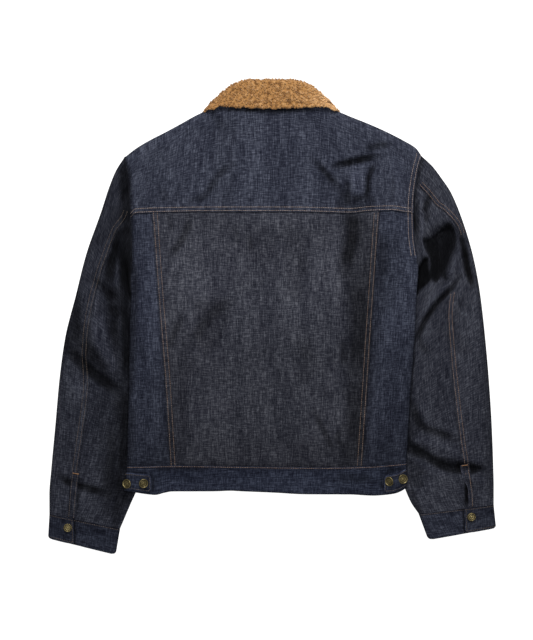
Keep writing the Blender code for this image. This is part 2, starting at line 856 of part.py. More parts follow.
def front_buttons():
    down = Vector((0.0, 0.0, -1.0))
    for number, y in enumerate(BUTTON_ROWS, 1):
        button(f"front_button_{number}", BUTTON_RADIUS, Vector((0.0, y, BUTTON_THICK)), down)


def rest_at_origin(pieces):
    """Moves the jacket so that the middle of its box's underside is the origin."""
    bpy.context.view_layer.update()
    graph = bpy.context.evaluated_depsgraph_get()
    corners = []
    for piece in pieces:
        shape = piece.evaluated_get(graph)
        corners += [shape.matrix_world @ Vector(corner) for corner in shape.bound_box]
    corners = np.array(corners)
    low, high = corners.min(axis=0), corners.max(axis=0)
    middle = (low + high) / 2
    shift = Matrix.Translation((-middle[0], -middle[1], -low[2]))
    for piece in pieces:
        piece.matrix_world = shift @ piece.matrix_world


def main():
    for old in list(bpy.data.objects):
        bpy.data.objects.remove(old)
    garment = bpy.data.collections.new("sherpa_lined_jacket")
    bpy.context.scene.collection.children.link(garment)
    back_pieces()
    waistband_pieces()
    collar_pieces()
    front_buttons()
    for side in ("left", "right"):
        front_pieces(side)
        sleeve_pieces(side)
        vent_strip(side)
        cuff(side)
        hem_tab(side)
    rest_at_origin(list(garment.objects))


main()
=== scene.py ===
"""The looks of a sherpa lined denim jacket that lies buttoned up on its front.

Sizes are in millimetres in the jacket's own plan, which is moved onto the frame at the end.
Left and right are those of the wearer, whose left is at -X.
"""

import math
from functools import partial

import bpy
import numpy as np
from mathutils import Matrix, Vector


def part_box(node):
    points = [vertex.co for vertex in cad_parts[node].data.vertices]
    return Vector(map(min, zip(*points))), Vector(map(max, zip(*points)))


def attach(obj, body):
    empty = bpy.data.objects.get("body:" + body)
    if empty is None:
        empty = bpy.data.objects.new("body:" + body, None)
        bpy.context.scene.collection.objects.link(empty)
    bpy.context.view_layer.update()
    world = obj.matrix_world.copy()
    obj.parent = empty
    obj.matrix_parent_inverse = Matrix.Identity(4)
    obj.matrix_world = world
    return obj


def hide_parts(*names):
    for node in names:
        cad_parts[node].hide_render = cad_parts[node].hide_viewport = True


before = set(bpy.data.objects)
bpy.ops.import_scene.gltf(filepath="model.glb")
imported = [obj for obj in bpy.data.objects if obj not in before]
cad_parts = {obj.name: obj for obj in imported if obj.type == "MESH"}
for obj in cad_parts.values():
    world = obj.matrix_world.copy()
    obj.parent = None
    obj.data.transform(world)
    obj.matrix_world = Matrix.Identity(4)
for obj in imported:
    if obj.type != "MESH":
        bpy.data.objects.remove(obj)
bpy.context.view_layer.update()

MM = 0.001
SIDES = ("left", "right")
WAY = {"left": 1, "right": -1}  # from a side inwards
GRID = 2.9  # the mesh's step in cloth that shows
HIDDEN_GRID = 6.0

# ---- sizes of the cut and the lay

BODY_WALL = 4.0  # denim and the pile lining pressed against it
SLEEVE_WALL = 3.0
BAND_WALL = 2.6
TAB_WALL = 2.2
STRIP_WALL = 1.2
PILE_WALL = 4.0
UNDERCOLLAR_WALL = 2.0
LAYER_GAP = 0.15  # half the least gap between the back and the fronts
SLEEVE_BED = 17.0  # the body's rise where a sleeve is tucked in under it
BED_RAMP = (44.0, -10.0)  # how far in from the sleeve's end that rise is none, and is full
COLLAR_BED = 8.0  # the body's rise over the collar's turned ends
SIDE_ROUND = 14.0  # how far in the folded sides are rounded
SHOULDER_ROUND = 17.0
ARMHOLE_DIP = 0.2
ARMHOLE_STEPS = np.array((0.0, 0.3, 0.9, 1.8, 3.0, 4.5, 6.3, 8.3, 10.2, 12.0, 14.0))
SLEEVE_ROUND = {"outer": 0.62, "inner": 0.85}  # how far in its sides are rounded, by its thickness
SLEEVE_LENGTH = 640.0
SLEEVE_LAP = (9.5, 0.8)  # the width and height of its lapped back seam
VENT_TOP = 0.8075  # along the sleeve
CUFF_STEP = 0.5 * BAND_WALL + 0.25  # how far a cuff's upper end rises, and its lower end sinks
CUFF_CORNER = 5.0
CUFF_LAP = 0.12  # how far its lower end reaches in under the upper one, as a share of its width
TAB_CLEAR = 1.1  # the air below a tab
TAB_COLUMNS, TAB_ROWS = 14, 13
STAND_RISE = 4.6  # the collar's two leaves, above the level of the neck
FALL_RISE = 14.75
NECK_LEVEL = 19.0
THREAD_LIFT = 0.25
LAP = 21.0  # the front edges, past the middle
BUTTON_ROWS = (-283.0, -174.0, -65.0, 44.0, 153.0, 262.0)
BUTTON_THICK = 3.0
BUTTON_RADIUS = 8.5
BUTTON_TILT = {"left": (-0.05, 0.0, 0.0), "right": (0.18, 0.1, 0.0)}  # of those beside a tab
CUFF_BUTTON_RADIUS = 7.5
CUFF_SHADE = {"left": 0.0, "right": 0.2}  # the shade painted on a cuff's upper end
STRIP_OUTER = {"left": -9.0, "right": -10.5}  # its outer edge and its stitches, from the seam
STRIP_ROWS = {"left": (-7.2, 1.4), "right": (-8.0,)}
UNDERARM_Y = {"left": 46.0, "right": 88.0}
UNDER_SEAM = 0.72  # of the underarm, as a share of the sleeve's width
CENTRE_X = 1.5

# Close rows beside a seam, and beside an end that is only turned under.
SEAM_STEPS = np.array((0.0, 0.5, 1.1, 2.0, 3.2, 4.8, 6.6, 8.6, 10.2, 12.0, 14.2))
END_STEPS = np.array((0.0, 0.4, 1.0, 2.0, 3.4, 5.2))
ROUNDED = 1.0 - np.cos(np.linspace(0.0, math.pi / 2, 9))


def unit(vectors):
    return vectors / np.maximum(np.linalg.norm(vectors, axis=-1, keepdims=True), 1e-9)


def mix(first, second, share):
    return first + (second - first) * share


def smooth(low, high, value):
    share = np.clip((value - low) / (high - low), 0.0, 1.0)
    return share * share * (3.0 - 2.0 * share)


def bulge(distance, width):
    share = np.clip(distance / width, 0.0, 1.0)
    return np.sqrt(1.0 - (1.0 - share) ** 2)


class Table:
    """Rows of named columns, read between the rows along a curve that doesn't overshoot."""

    def __init__(self, names, *rows):
        self.names = names.split()
        self.rows = np.array(rows, float)
        rises = np.diff(self.rows, axis=0) / np.diff(self.rows[:, 0])[:, None]
        before, after = rises[:-1], rises[1:]
        same_way = before * after > 0
        total = np.where(same_way, before + after, 1.0)
        self.slopes = np.zeros_like(self.rows)
        self.slopes[0], self.slopes[-1] = rises[0], rises[-1]
        self.slopes[1:-1] = np.where(same_way, 2 * before * after / total, 0.0)

    def __call__(self, name, key):
        column = self.names.index(name)
        keys = self.rows[:, 0]
        key = np.clip(np.asarray(key, float), keys[0], keys[-1])
        i = np.clip(np.searchsorted(keys, key, side="right") - 1, 0, len(keys) - 2)
        step = keys[i + 1] - keys[i]
        t = (key - keys[i]) / step
        values, slopes = self.rows[:, column], self.slopes[:, column]
        return (
            values[i] * (1 + 2 * t) * (1 - t) ** 2
            + values[i + 1] * t * t * (3 - 2 * t)
            + step * (slopes[i] * t * (1 - t) ** 2 + slopes[i + 1] * t * t * (t - 1))
        )


BODY_EDGE = Table(
    "y left right",
    (-305, -256, 237),
    (-262, -251, 238),
    (-200, -249.5, 241),
    (-146, -248, 244),
    (-83, -247, 249),
    (-24, -246, 253),
    (46, -244, 256),
    (88, -244, 259),
    (111, -244, 255),
    (143, -244.5, 251),
    (186, -245.5, 250),
    (213, -247, 251.5),
    (239, -248, 255),
    (265, -253, 260),
    (281, -257, 265),
)
SLEEVE_REACH = Table(
    "y left right",
    (-330, -246, 246),
    (-288, -228, 233),
    (-232, -213, 226),
    (-176, -202, 220),
    (-120, -200, 219),
    (-67, -206, 223),
    (-24, -218, 230),
    (8, -234, 240),
    (46, -246, 251),
    (88, -250, 260),
)
BACK_TOP = Table(
    "x y",
    (-257, 278),
    (-235, 295),
    (-211, 309),
    (-183, 323),
    (-157, 337),
    (-132, 351),
    (-115, 359),
    (-99, 364.5),
    (-60, 373),
    (0, 377),
    (60, 373),
    (102, 364.5),
    (118, 359),
    (137, 351),
    (172, 337),
    (204, 323),
    (232, 309),
    (255, 295),
    (265, 281),
)
FRONT_NECK = Table(
    "x y",
    (-99, 364.5),
    (-92, 347),
    (-80, 331),
    (-60, 311),
    (-36, 297),
    (0, 290),
    (40, 297),
    (63, 311),
    (83, 331),
    (95, 347),
    (102, 364.5),
)
YOKE_SEAM = Table(
    "x y",
    (-260, 177),
    (-228, 180.3),
    (-190, 181.6),
    (-100, 182.5),
    (40, 182.5),
    (90, 181.3),
    (135, 180),
    (175, 183.6),
    (211, 184.9),
    (239, 181.5),
    (260, 180),
)
BAND_SEAM = Table("x y", (-251, -262), (-181, -261), (94, -264), (179, -262), (238, -256))
HEM = Table(
    "x y",
    (-256, -304),
    (-237, -306.5),
    (-215, -310.5),
    (-202, -311.8),
    (-186, -308),
    (-172, -305.6),
    (-100, -305.4),
    (-71, -304.4),
    (-45, -305.6),
    (8, -307.8),
    (60, -310.6),
    (139, -311),
    (180, -313),
    (200, -312),
    (218, -309),
    (237, -300),
)
BACK_SEAMS = Table(
    "y left right",
    (-262, -176, 161),
    (-111, -184.5, 170.5),
    (3, -194, 178),
    (97, -201, 184.5),
    (183, -207, 190.5),
)
BODY_THICK = Table(
    "y middle side",
    (-315, 15.5, 11.5),
    (-262, 19, 12.5),
    (-215, 26, 16),
    (-100, 29, 17),
    (0, 30, 17),
    (100, 29, 19),
    (186, 28, 24),
    (265, 25, 24.5),
    (340, 23, 24),
    (376, 22.6, 23),
)
SLEEVE = {
    "left": Table(
        "along outer_x outer_y inner_x inner_y seam thick tucked",
        (0.00, -257, 278, -244, 46, 0.38, 25, 25),
        (0.06, -271, 256, -245.5, 32, 0.40, 25, 21),
        (0.11, -283, 226, -243, 18, 0.366, 26, 15.5),
        (0.16, -297, 183, -237, 4, 0.315, 27, 13.5),
        (0.26, -323, 109, -218, -24, 0.26, 28, 13.5),
        (0.36, -341.5, 36, -206, -67, 0.22, 28, 13.5),
        (0.47, -360, -38, -200, -120, 0.25, 28, 13.5),
        (0.58, -370, -111, -202, -176, 0.31, 27, 13),
        (0.69, -377, -188, -213, -232, 0.302, 25, 12.5),
        (0.80, -384, -262, -228, -288, 0.298, 22, 12),
        (0.90, -388, -312, -246, -330, 0.315, 19, 13),
        (1.00, -388, -346, -264, -372, 0.335, 16, 14),
    ),
    "right": Table(
        "along outer_x outer_y inner_x inner_y seam thick tucked",
        (0.00, 265, 281, 259, 88, 0.24, 25, 25),
        (0.05, 284, 263, 260, 73, 0.24, 25, 21.5),
        (0.09, 300, 242, 257.5, 59, 0.25, 26, 16.5),
        (0.13, 316.5, 217, 249, 40, 0.188, 27, 13.5),
        (0.22, 339, 161, 237, 4, 0.09, 28, 13.5),
        (0.31, 356, 102, 227, -38, 0.32, 28, 13.5),
        (0.40, 367, 43, 220, -87, 0.392, 28, 13.5),
        (0.50, 375.8, -32, 218, -143, 0.388, 28, 13.5),
        (0.61, 382.8, -111, 221, -199, 0.376, 27, 13),
        (0.72, 387.8, -188, 227, -244, 0.36, 25, 12.5),
        (0.83, 390.8, -262, 233, -290, 0.327, 21, 12),
        (0.92, 391.8, -300, 246, -325, 0.325, 18, 13),
        (1.00, 391.8, -330, 260, -346, 0.348, 16, 14),
    ),
}
CUFF = {
    "left": Table(
        "along outer_x outer_y inner_x inner_y seam thick tucked",
        (0.0, -388, -346, -264, -372, 0.34, 15.5, 14),
        (1.0, -390.5, -388, -271.5, -417, 0.39, 14, 14),
    ),
    "right": Table(
        "along outer_x outer_y inner_x inner_y seam thick tucked",
        (0.0, 391.8, -330, 260, -346, 0.392, 15.5, 14),
        (1.0, 396, -370, 276.5, -391, 0.45, 14, 14),
    ),
}
COLLAR = Table(
    "along neck_x neck_y fold_x fold_y edge_x edge_y turned",
    (0.00, 0, 372, 0, 406.5, 0, 361.5, 0),
    (0.12, 32, 370.5, 39, 406, 38, 362.5, 0),
    (0.23, 58, 368, 66, 397, 72, 364.5, 0),
    (0.32, 76, 364, 84, 382, 95, 366, 8),
    (0.40, 82, 361, 88, 374, 106, 360, 45),
    (0.47, 83, 355, 90, 368, 109, 352, 90),
    (0.53, 83, 349, 86, 366, 112, 354, 150),
    (0.59, 82, 340, 80, 352, 118, 350, 170),
    (0.68, 79, 328, 72, 337, 121, 328, 180),
    (0.82, 62, 308, 56, 317, 116, 286, 180),
    (1.00, 40, 294, 35, 303, 92, 242, 180),
)
HEM_TAB = {
    "left": {"tip": -209.0, "low": 3.5, "high": 31.0, "rise": 3.5, "buttons": ((-250, -4.5), (-222, 1.0))},
    "right": {"tip": 199.0, "low": 3.5, "high": 33.0, "rise": 0.0, "buttons": ((231, 1.0), (208.5, 4.5))},
}
CUFF_BUTTONS = {"left": (-355.0, -370.0), "right": (352.0, -351.0)}
SOLID_FOLDS = (
    ((300, 130), (292, 70), 34, 7.0),
    ((-284, 130), (-262, 62), 30, 6.0),
    ((142, 186), (137, -80), 40, 2.5),
)

# Creases: the line that each follows, its half width, how deep it sinks (a ridge rises, so its depth is
# below zero) and how much of the light it loses.
# The light that a crease loses is painted shade in the denim's colour, given through the shade attribute; a
# ridge's is painted light.
CREASES = {
    "back": (
        (((-88, 360.5), (-60, 362), (0, 361), (45, 362), (74, 361)), 3.4, 0.6, 0.97),
        (((111, 261), (127, 266), (147, 271), (168, 275.5), (186, 279)), 6.0, 4.2, 0.94),
        (((113, 259), (122, 263), (134, 267)), 5, 1.5, 0.6),
        (((167, 291), (188, 297), (209, 300)), 6, 2.6, 0.62),
        (((71, 272), (87, 260), (106, 237), (123, 220), (143, 199)), 6.5, 2.4, 0.42),
        (((182, 265), (172, 243), (169.5, 217), (165, 203)), 4.2, 3.4, 0.84),
        (((134, 238), (135, 206), (138, 190)), 5.5, 2.6, 0.62),
        (((143, 206), (150, 205), (160, 205.5)), 3.6, 1.6, 0.6),
        (((82, 266), (93, 254), (103, 242), (113, 230)), 4.2, 1.8, 0.8),
        (((214, 250), (215, 226), (214, 196)), 3.6, 1.2, 0.3),
        (((143, 183), (144, 140), (134, 100), (130, 78)), 11, 3.0, 0.74),
        (((146, 64), (154, 20), (154, -41), (144, -97)), 12, 3.0, 0.55),
        (((143, -120), (146, -172), (160, -237)), 11, 2.2, 0.4),
        (((197, 137), (199, 95), (195, 64)), 9, 1.8, 0.32),
        (((127, -41), (129, -85)), 6, 1.6, 0.45),
        (((-66, 265), (-85, 251), (-102, 228), (-115, 209), (-141, 199)), 5.5, 2.2, 0.5),
        (((-140, 172), (-147, 150), (-158, 128), (-175, 105)), 6, 1.8, 0.55),
        (((-178, 180), (-173, 148)), 4, 0.8, 0.3),
        (((-190, 220), (-183, 199)), 6, 2.2, 0.25),
        (((-62, 155), (-60, 127)), 5, 1.0, 0.24),
        (((-38, 141), (-34, 116)), 5, 1.0, 0.36),
        (((-70, 24), (-90, 14), (-110, -8), (-126, -30), (-134, -50)), 9, 1.8, 0.42),
        (((-156, -4), (-167, -28), (-178, -58)), 5.5, 1.6, 0.44),
        (((57, -50), (66, -76)), 9, 1.2, 0.2),
        (((57, 108), (57, 78)), 8, 1.0, 0.22),
        (((76, -167), (90, -195), (109, -234)), 4.5, 2.0, 0.46),
        (((130, -230), (116, -216), (125, -199)), 4.5, 1.6, 0.34),
        (((144, -178), (143, -216)), 5, 1.6, 0.4),
        (((-172, -155), (-174, -199), (-169, -248)), 6, 1.4, 0.3),
        (((-153, -129), (-148, -225)), 9, 1.0, 0.16),
        (((-228, -41), (-223, -80)), 5, 1.0, 0.2),
        (((-106, 354), (-92, 344), (-81, 323)), 6, 1.2, 0.2),
        (((213, 288), (223, 256), (225, 195)), 12, -1.6, -0.2),
        (((143, 253), (151, 232)), 8, -1.2, -0.22),
        (((109, 165), (113, 95), (108, 46)), 12, -1.2, -0.16),
        (((-211, 169), (-207, 29), (-204, -111)), 8, -0.8, -0.08),
        (((81, 160), (83, 46)), 11, -1.0, -0.1),
        (((252, -30), (249, -111), (245, -181), (242, -245)), 5, 0.5, 0.34),
        (((-107, 362), (-99, 367)), 3, 0, 0.5),
        (((-158, 81), (-123, 55), (-71, 67)), 22, -0.8, -0.12),
    ),
    "front": (
        (((-120, 239), (-150, 199), (-165, 150)), 9, 2.4, 0.2),
        (((109, 230), (150, 181)), 8, 2.0, 0.2),
        (((-60, 60), (-109, 20), (-171, -20)), 14, 1.8, 0.1),
        (((69, -59), (130, -109)), 12, 1.8, 0.1),
    ),
    "sleeve_left": (
        (((-258, 277), (-256, 239), (-253, 195), (-253, 143)), 8, 6.0, 0.76),
        (((-251, 148), (-255, 95), (-256, 29), (-251, -50), (-251, -129)), 10, 2.0, 0.86),
        (((-251, -120), (-253, -181), (-258, -242), (-262, -304)), 10, 3.5, 0.74),
        (((-268, 142), (-274, 112), (-279, 88), (-282, 60)), 6.5, 5.0, 0.76),
        (((-285, 45), (-276, 37), (-267, 31)), 6, 3.0, 0.66),
        (((-283, 16), (-271, 8), (-260, -4)), 8, 3.0, 0.62),
        (((-266, 97), (-266.5, 76), (-268, 55)), 3.5, -2.0, -0.3),
        (((-309, 66), (-291, 46), (-276, 22)), 7, 3.5, 0.55),
        (((-269, -3), (-270, -34), (-267, -62)), 8, 3.0, 0.5),
        (((-281, -190), (-277, -251), (-281, -300)), 8, 2.0, 0.42),
        (((-337, 20), (-340, -15), (-344, -50)), 8, 2.0, 0.5),
        (((-358, -53), (-340, -73), (-319, -92), (-298, -109), (-277, -125), (-256, -139)), 10, 6.0, 0.78),
        (((-333, -34), (-316, -62), (-293, -83), (-274, -101)), 9, 2.0, 0.52),
        (((-365, -62), (-358, -83)), 7, 1.0, 0.3),
        (((-372, -280), (-346, -294), (-316, -302), (-284, -313)), 6.5, 3.0, 0.85),
        (((-302, -3), (-309, 29), (-314, 50)), 7, -1.6, -0.22),
        (((-360, -108), (-333, -132), (-304, -150)), 10, -2.0, -0.16),
        (((-368, -318), (-337, -335)), 7, -1.2, -0.16),
        (((-337, -237), (-333, -265)), 8, -1.0, -0.12),
        (((-337, -274), (-335.5, -290), (-336.5, -310), (-341.5, -346)), 2.6, 1.0, 0.7),
    ),
    "sleeve_right": (
        (((256, 269), (250, 239), (249, 204), (252, 158), (256, 129)), 4.5, 3.0, 0.95),
        (((256, 211), (256, 179), (257, 141)), 3.4, 1.5, 0.62),
        (((263, 216), (265, 165), (267, 137), (272, 108)), 3.6, -2.2, -0.42),
        (((279, 214), (274, 197), (267, 178)), 5, 3.0, 0.8),
        (((281, 134), (297, 144), (311, 148), (312, 125), (302, 95), (290, 73)), 12.5, 8.0, 0.55),
        (((297, 95), (276, 85), (260, 69), (256, 46)), 10.5, 6.0, 0.35),
        (((325, 116), (319, 85), (305, 57), (281, 27), (263, 1)), 6, -4.0, -0.26),
        (((332, 70), (323, 58), (314, 46), (297, 29), (283, 11), (270, -9), (260, -31),
          (252, -48)), 4.2, 4.5, 0.92),
        (((258, -31), (263, -52), (276, -62)), 6, 2.0, 0.4),
        (((318, 71), (304, 59), (293, 53)), 4, 2.0, 0.45),
        (((328, 152), (335, 134), (340, 116), (343, 95), (346, 78), (354, 52)), 4.8, 3.0, 0.97),
        (((346, 43), (335, 25), (323, -3), (314, -32)), 7, 1.4, 0.22),
        (((249, -152), (257, -181), (269, -195), (290, -203), (311, -211), (328, -217)), 6, 2.6, 0.68),
        (((232, -209), (244, -229), (265, -239), (284, -252), (305, -262), (332, -267),
          (370, -268)), 8, 5.0, 0.82),
        (((234, -255), (251, -265), (269, -283)), 8, 2.0, 0.4),
        (((258, -216), (297, -228), (332, -242)), 7, -2.0, -0.18),
        (((270, -265), (305, -286)), 8, -1.2, -0.12),
        (((349, -284), (377, -291)), 7, -1.4, -0.18),
        (((340, -266), (340.5, -278), (343, -292), (343.5, -312), (343, -336)), 3.8, 2.0, 0.98),
        (((246, -67), (242, -111), (242, -146)), 6, 1.6, 0.4),
        (((230, -181), (232, -225)), 6, 1.6, 0.4),
    ),
    "band": (
        (((113, -281), (148, -283), (181, -284)), 9, 0.0, 0.45),
        (((-256, -273.5), (-236, -273), (-212, -274.5)), 2.6, 0.4, 0.6),
        (((-206, -279), (-205.5, -295), (-207, -310)), 2.6, 0.4, 0.65),
        (((238, -264.5), (222, -266.5), (208, -269.5), (199, -276)), 2.6, 0.4, 0.6),
        (((195.5, -281), (195.5, -295), (197, -306)), 2.6, 0.4, 0.65),
        (((200, -308.5), (225, -307.5), (236, -300)), 2.4, 0.4, 0.5),
        (((-204, -266), (-165, -266), (-106, -267)), 4, 0.0, 0.42),
    ),
}

# Hollows, slack places and broad patches of painted light and shade: the outline of each, how soft its edge
# is, how deep it sinks and how much shade is painted into the colour there (below zero, painted light).
HOLLOWS = {
    "back": (
        (((132, 178), (182, 170), (198, 99), (192, -6), (176, -146), (160, -250), (124, -250),
          (134, -146), (130, -24), (125, 64)), 16, 1.2, 0.42),
        (((158, 90), (176, 90), (173, -60), (166, -235), (150, -235), (156, -60)), 7, 0.3, 0.28),
        (((-132, 25), (-80, 30), (-71, 0), (-100, -55), (-125, -50)), 10, 0.3, 0.26),
        (((-97, 344), (-62, 344), (-66, 195), (-105, 195)), 10, 0.2, 0.14),
        (((122, 213), (174, 213), (178, 190), (120, 190)), 5, 0.4, 0.4),
        (((-228, -32), (-211, -32), (-211, -128), (-228, -128)), 8, 0, -0.12),
        (((-220, 108), (-185, 108), (-185, 29), (-220, 29)), 10, 0, -0.1),
        (((227, 195), (244, 195), (244, 143), (227, 143)), 7, 0, -0.15),
        (((185, 137), (227, 134), (220, 29), (192, 11)), 12, 0.5, 0.18),
        (((-179, 29), (-141, -24), (-150, -181), (-162, -251), (-193, -251), (-190, -59)), 12, 0.5, 0.16),
        (((24, 160), (52, 151), (52, 29), (31, 46)), 12, 0.3, 0.14),
        (((-22, 160), (10, 134), (-4, 95), (-39, 106)), 10, 0.3, 0.1),
        (((34, -41), (73, -41), (83, -102), (45, -111)), 10, 0.3, 0.14),
        (((-211, -41), (227, -50), (262, -269), (-263, -269)), 60, 0, 0.2),
        (((-211, -199), (227, -207), (262, -286), (-263, -286)), 30, 0, 0.12),
        (((142, 262), (167, 264), (162, 212), (143, 212)), 7, -0.6, -0.2),
        (((88, 250), (122, 240), (137, 193), (92, 193)), 9, 0.4, 0.08),
        (((-263, 95), (-234, 85), (-234, -24), (-239, -120), (-253, -155), (-267, -146)), 7, 0, 0.55),
        (((-263, -146), (-239, -155), (-235, -216), (-246, -269), (-263, -269)), 7, 0, 0.35),
        (((-263, -251), (248, -256), (248, -269), (-263, -269)), 5, 0, 0.2),
    ),
    "front": (),
    "sleeve_left": (
        (((-269, 150), (-244, 150), (-244, 29), (-260, 57), (-267, 95), (-277, 123)), 5, 1, 0.72),
        (((-281, 53), (-267, 48), (-265, -3), (-276, -41), (-286, -10), (-284, 29)), 6, 1, 0.55),
        (((-262, 265), (-253, 260), (-244, 178), (-248, 143), (-262, 160), (-263, 221)), 6, 2, 0.3),
        (((-276, -146), (-249, -139), (-251, -216), (-260, -286), (-284, -321), (-293, -269),
          (-277, -216)), 9, 1, 0.36),
        (((-362, 42), (-334, 44), (-331, -24), (-336, -66), (-362, -58)), 8, 0.5, 0.48),
        (((-325, -50), (-302, -55), (-291, -85), (-277, -111), (-291, -122), (-316, -104),
          (-330, -80)), 6, 0.5, 0.45),
        (((-316, -3), (-291, -3), (-284, -50), (-267, -90), (-284, -95), (-302, -59)), 5, -0.6, -0.38),
        (((-272, -25), (-237, -25), (-237, -165), (-268, -170)), 10, 0.3, 0.32),
        (((-337, -15), (-314, -20), (-312, -85), (-335, -90)), 7, 0.3, 0.35),
        (((-277, 190), (-264, 190), (-262, 155), (-280, 155)), 6, 0.3, 0.3),
        (((-295, -286), (-246, -286), (-246, -320), (-290, -356)), 9, 0.3, 0.35),
        (((-291, 95), (-277, 116), (-267, 95), (-274, 55), (-281, 29), (-293, 46)), 6, 0.3, 0.5),
        (((-267, -283), (-239, -283), (-249, -321), (-263, -360), (-277, -382), (-277, -347)), 6, 0.3, 0.5),
        (((-368, -312), (-316, -320), (-322, -350), (-374, -342)), 8, 0, -0.15),
        (((-343, -100), (-332, -100), (-333, -146), (-344, -146)), 5, 0, -0.15),
        (((-307, -137), (-267, -146), (-277, -269), (-298, -304), (-305, -216)), 14, 0.3, 0.22),
        (((-298, 256), (-270, 274), (-270, 204), (-298, 116), (-323, 116)), 12, 0, 0.14),
    ),
    "sleeve_right": (
        (((267, 136), (279, 137), (297, 150), (305, 158), (312, 162), (319, 155), (323, 141),
          (323, 125), (319, 113), (314, 102), (309, 88), (307, 76), (309, 66), (304, 64), (298, 71),
          (295, 64), (288, 59), (283, 67), (277, 60), (279, 78), (281, 95), (276, 109),
          (270, 120)), 3, 9, 0.86),
        (((269, 132), (290, 134), (297, 106), (298, 78), (290, 64), (279, 64), (281, 95),
          (272, 116)), 4, 0, 0.7),
        (((276, 104), (269, 101), (262, 90), (255, 78), (251, 64), (253, 46), (255, 34), (262, 46),
          (274, 55), (279, 64), (279, 81), (277, 95)), 3, 8, 0.97),
        (((272, -237), (290, -244), (314, -248), (335, -251), (349, -255), (367, -262), (363, -272),
          (335, -276), (314, -274), (293, -265), (276, -251)), 4, 1, 0.5),
        (((234, -199), (244, -214), (265, -232), (269, -248), (248, -246), (234, -230)), 4, 1, 0.5),
        (((241, -38), (251, -38), (249, -111), (246, -146), (242, -199), (234, -199),
          (234, -146)), 5, 0.5, 0.38),
        (((269, 176), (276, 181), (279, 176), (274, 165), (269, 167)), 2, 1, 0.5),
        (((331, 136), (343, 113), (349, 88), (356, 60), (349, 55), (339, 78), (333, 108)), 4.5, 1, 0.75),
        (((241, -307), (251, -330), (270, -374), (283, -374), (262, -330), (251, -304)), 5, 0.3, 0.45),
        (((326, -255), (356, -260), (370, -267), (349, -277), (328, -270)), 3.5, 3, 0.65),
        (((298, -25), (335, -34), (349, -62), (318, -59)), 9, 0.5, 0.2),
        (((234, -269), (253, -276), (269, -297), (248, -300), (235, -286)), 5, 1, 0.35),
        (((234, -146), (248, -143), (258, -164), (269, -190), (248, -216), (232, -216)), 6, 1, 0.35),
        (((367, -24), (395, -24), (402, -286), (374, -286)), 9, 0, 0.25),
    ),
    "band": (),
}


# ---- the lie of the cloth


def rounded_line(points, step=4.0):
    """A line's points again, close together along a curve through them."""
    points = np.array(points, float)
    ends = np.vstack([2 * points[0] - points[1], points, 2 * points[-1] - points[-2]])
    line = []
    for i in range(len(points) - 1):
        a, b, c, d = ends[i : i + 4]
        for t in np.arange(0.0, 1.0, step / max(step, np.linalg.norm(c - b))):
            bent = (2 * a - 5 * b + 4 * c - d) * t * t
            line.append(0.5 * (2 * b + (c - a) * t + bent + (3 * b - a - 3 * c + d) * t**3))
    return np.array(line + [points[-1]])


def near_line(line, reach, x, y):
    low, high = line.min(axis=0) - reach, line.max(axis=0) + reach
    return (x > low[0]) & (x < high[0]) & (y > low[1]) & (y < high[1])


def hollows(area, x, y):
    """How far the hollows of an area sink the cloth, and how much shade they paint into its colour."""
    sunk, dark = np.zeros(x.shape), np.zeros(x.shape)
    for points, soft, depth, shade in HOLLOWS[area]:
        line = rounded_line(points + points[:1])
        near = near_line(line, soft, x, y)
        if not near.any():
            continue
        px, py = x[near][:, None], y[near][:, None]
        (ax, ay), (bx, by) = line[:-1].T, line[1:].T
        crossed = (ay > py) != (by > py)
        at = ax + (py - ay) * (bx - ax) / np.where(by == ay, 1e-9, by - ay)
        inside = (crossed & (px < at)).sum(axis=1) % 2 == 1
        gap = np.hypot(px - ax, py - ay).min(axis=1)
        share = smooth(-soft, soft, np.where(inside, gap, -gap))
        sunk[near] += depth * share
        dark[near] = 1 - (1 - dark[near]) * (1 - shade * share)
    return sunk, dark


def creases(area, x, y):
    """How far the creases of an area, and its hollows, sink the cloth, and how much shade they paint into
    its colour.
    """
    x, y = np.broadcast_arrays(np.asarray(x, float), np.asarray(y, float))
    sunk, dark, light = np.zeros(x.shape), np.zeros(x.shape), np.zeros(x.shape)
    for points, width, depth, shade in CREASES[area]:
        line = rounded_line(points)
        near = near_line(line, 3.2 * width, x, y)
        if not near.any():
            continue
        spots = np.stack([x[near], y[near]], axis=-1)
        steps = np.diff(line, axis=0)
        lengths = np.linalg.norm(steps, axis=1)
        ways = steps / lengths[:, None]
        offsets = spots[:, None, :] - line[None, :-1, :]
        along = np.clip((offsets * ways).sum(axis=2), 0.0, lengths)
        gaps = np.linalg.norm(offsets - along[..., None] * ways, axis=2)
        best = gaps.argmin(axis=1)
        row = np.arange(len(best))
        gap = gaps[row, best]
        starts = np.concatenate([[0.0], np.cumsum(lengths)[:-1]])
        share = (starts[best] + along[row, best]) / lengths.sum()
        fade = smooth(0.0, 0.22, share) * smooth(1.0, 0.78, share)
        fade = mix(0.35, 1.0, fade) * mix(0.85, 1.0, np.sin(share * 11.0 + depth) ** 2)
        trough = np.exp(-((gap / width) ** 2))
        shoulder = np.exp(-(((gap - 1.7 * width) / width) ** 2))
        sunk[near] += depth * fade * (trough - 0.28 * shoulder)
        lost = shade * fade * np.minimum(1.0, 1.35 * trough)
        dark[near] = np.maximum(dark[near], lost)
        light[near] = np.maximum(light[near], -lost)
    deep, hollow_shade = hollows(area, x, y)
    return sunk + deep, 1 - (1 - dark) * (1 - hollow_shade) - light


WAVES = (
    (0.052, 0.011, 0.3, 0.55),
    (-0.018, 0.047, 1.9, 0.5),
    (0.031, -0.036, 4.1, 0.45),
    (0.09, 0.03, 2.2, 0.28),
    (-0.05, 0.085, 5.0, 0.26),
    (0.02, 0.12, 0.9, 0.2),
)


def uneven(x, y):
    """The slow rise and fall of cloth that lies loosely."""
    return sum(size * np.sin(a * x + b * y + start) for a, b, start, size in WAVES)


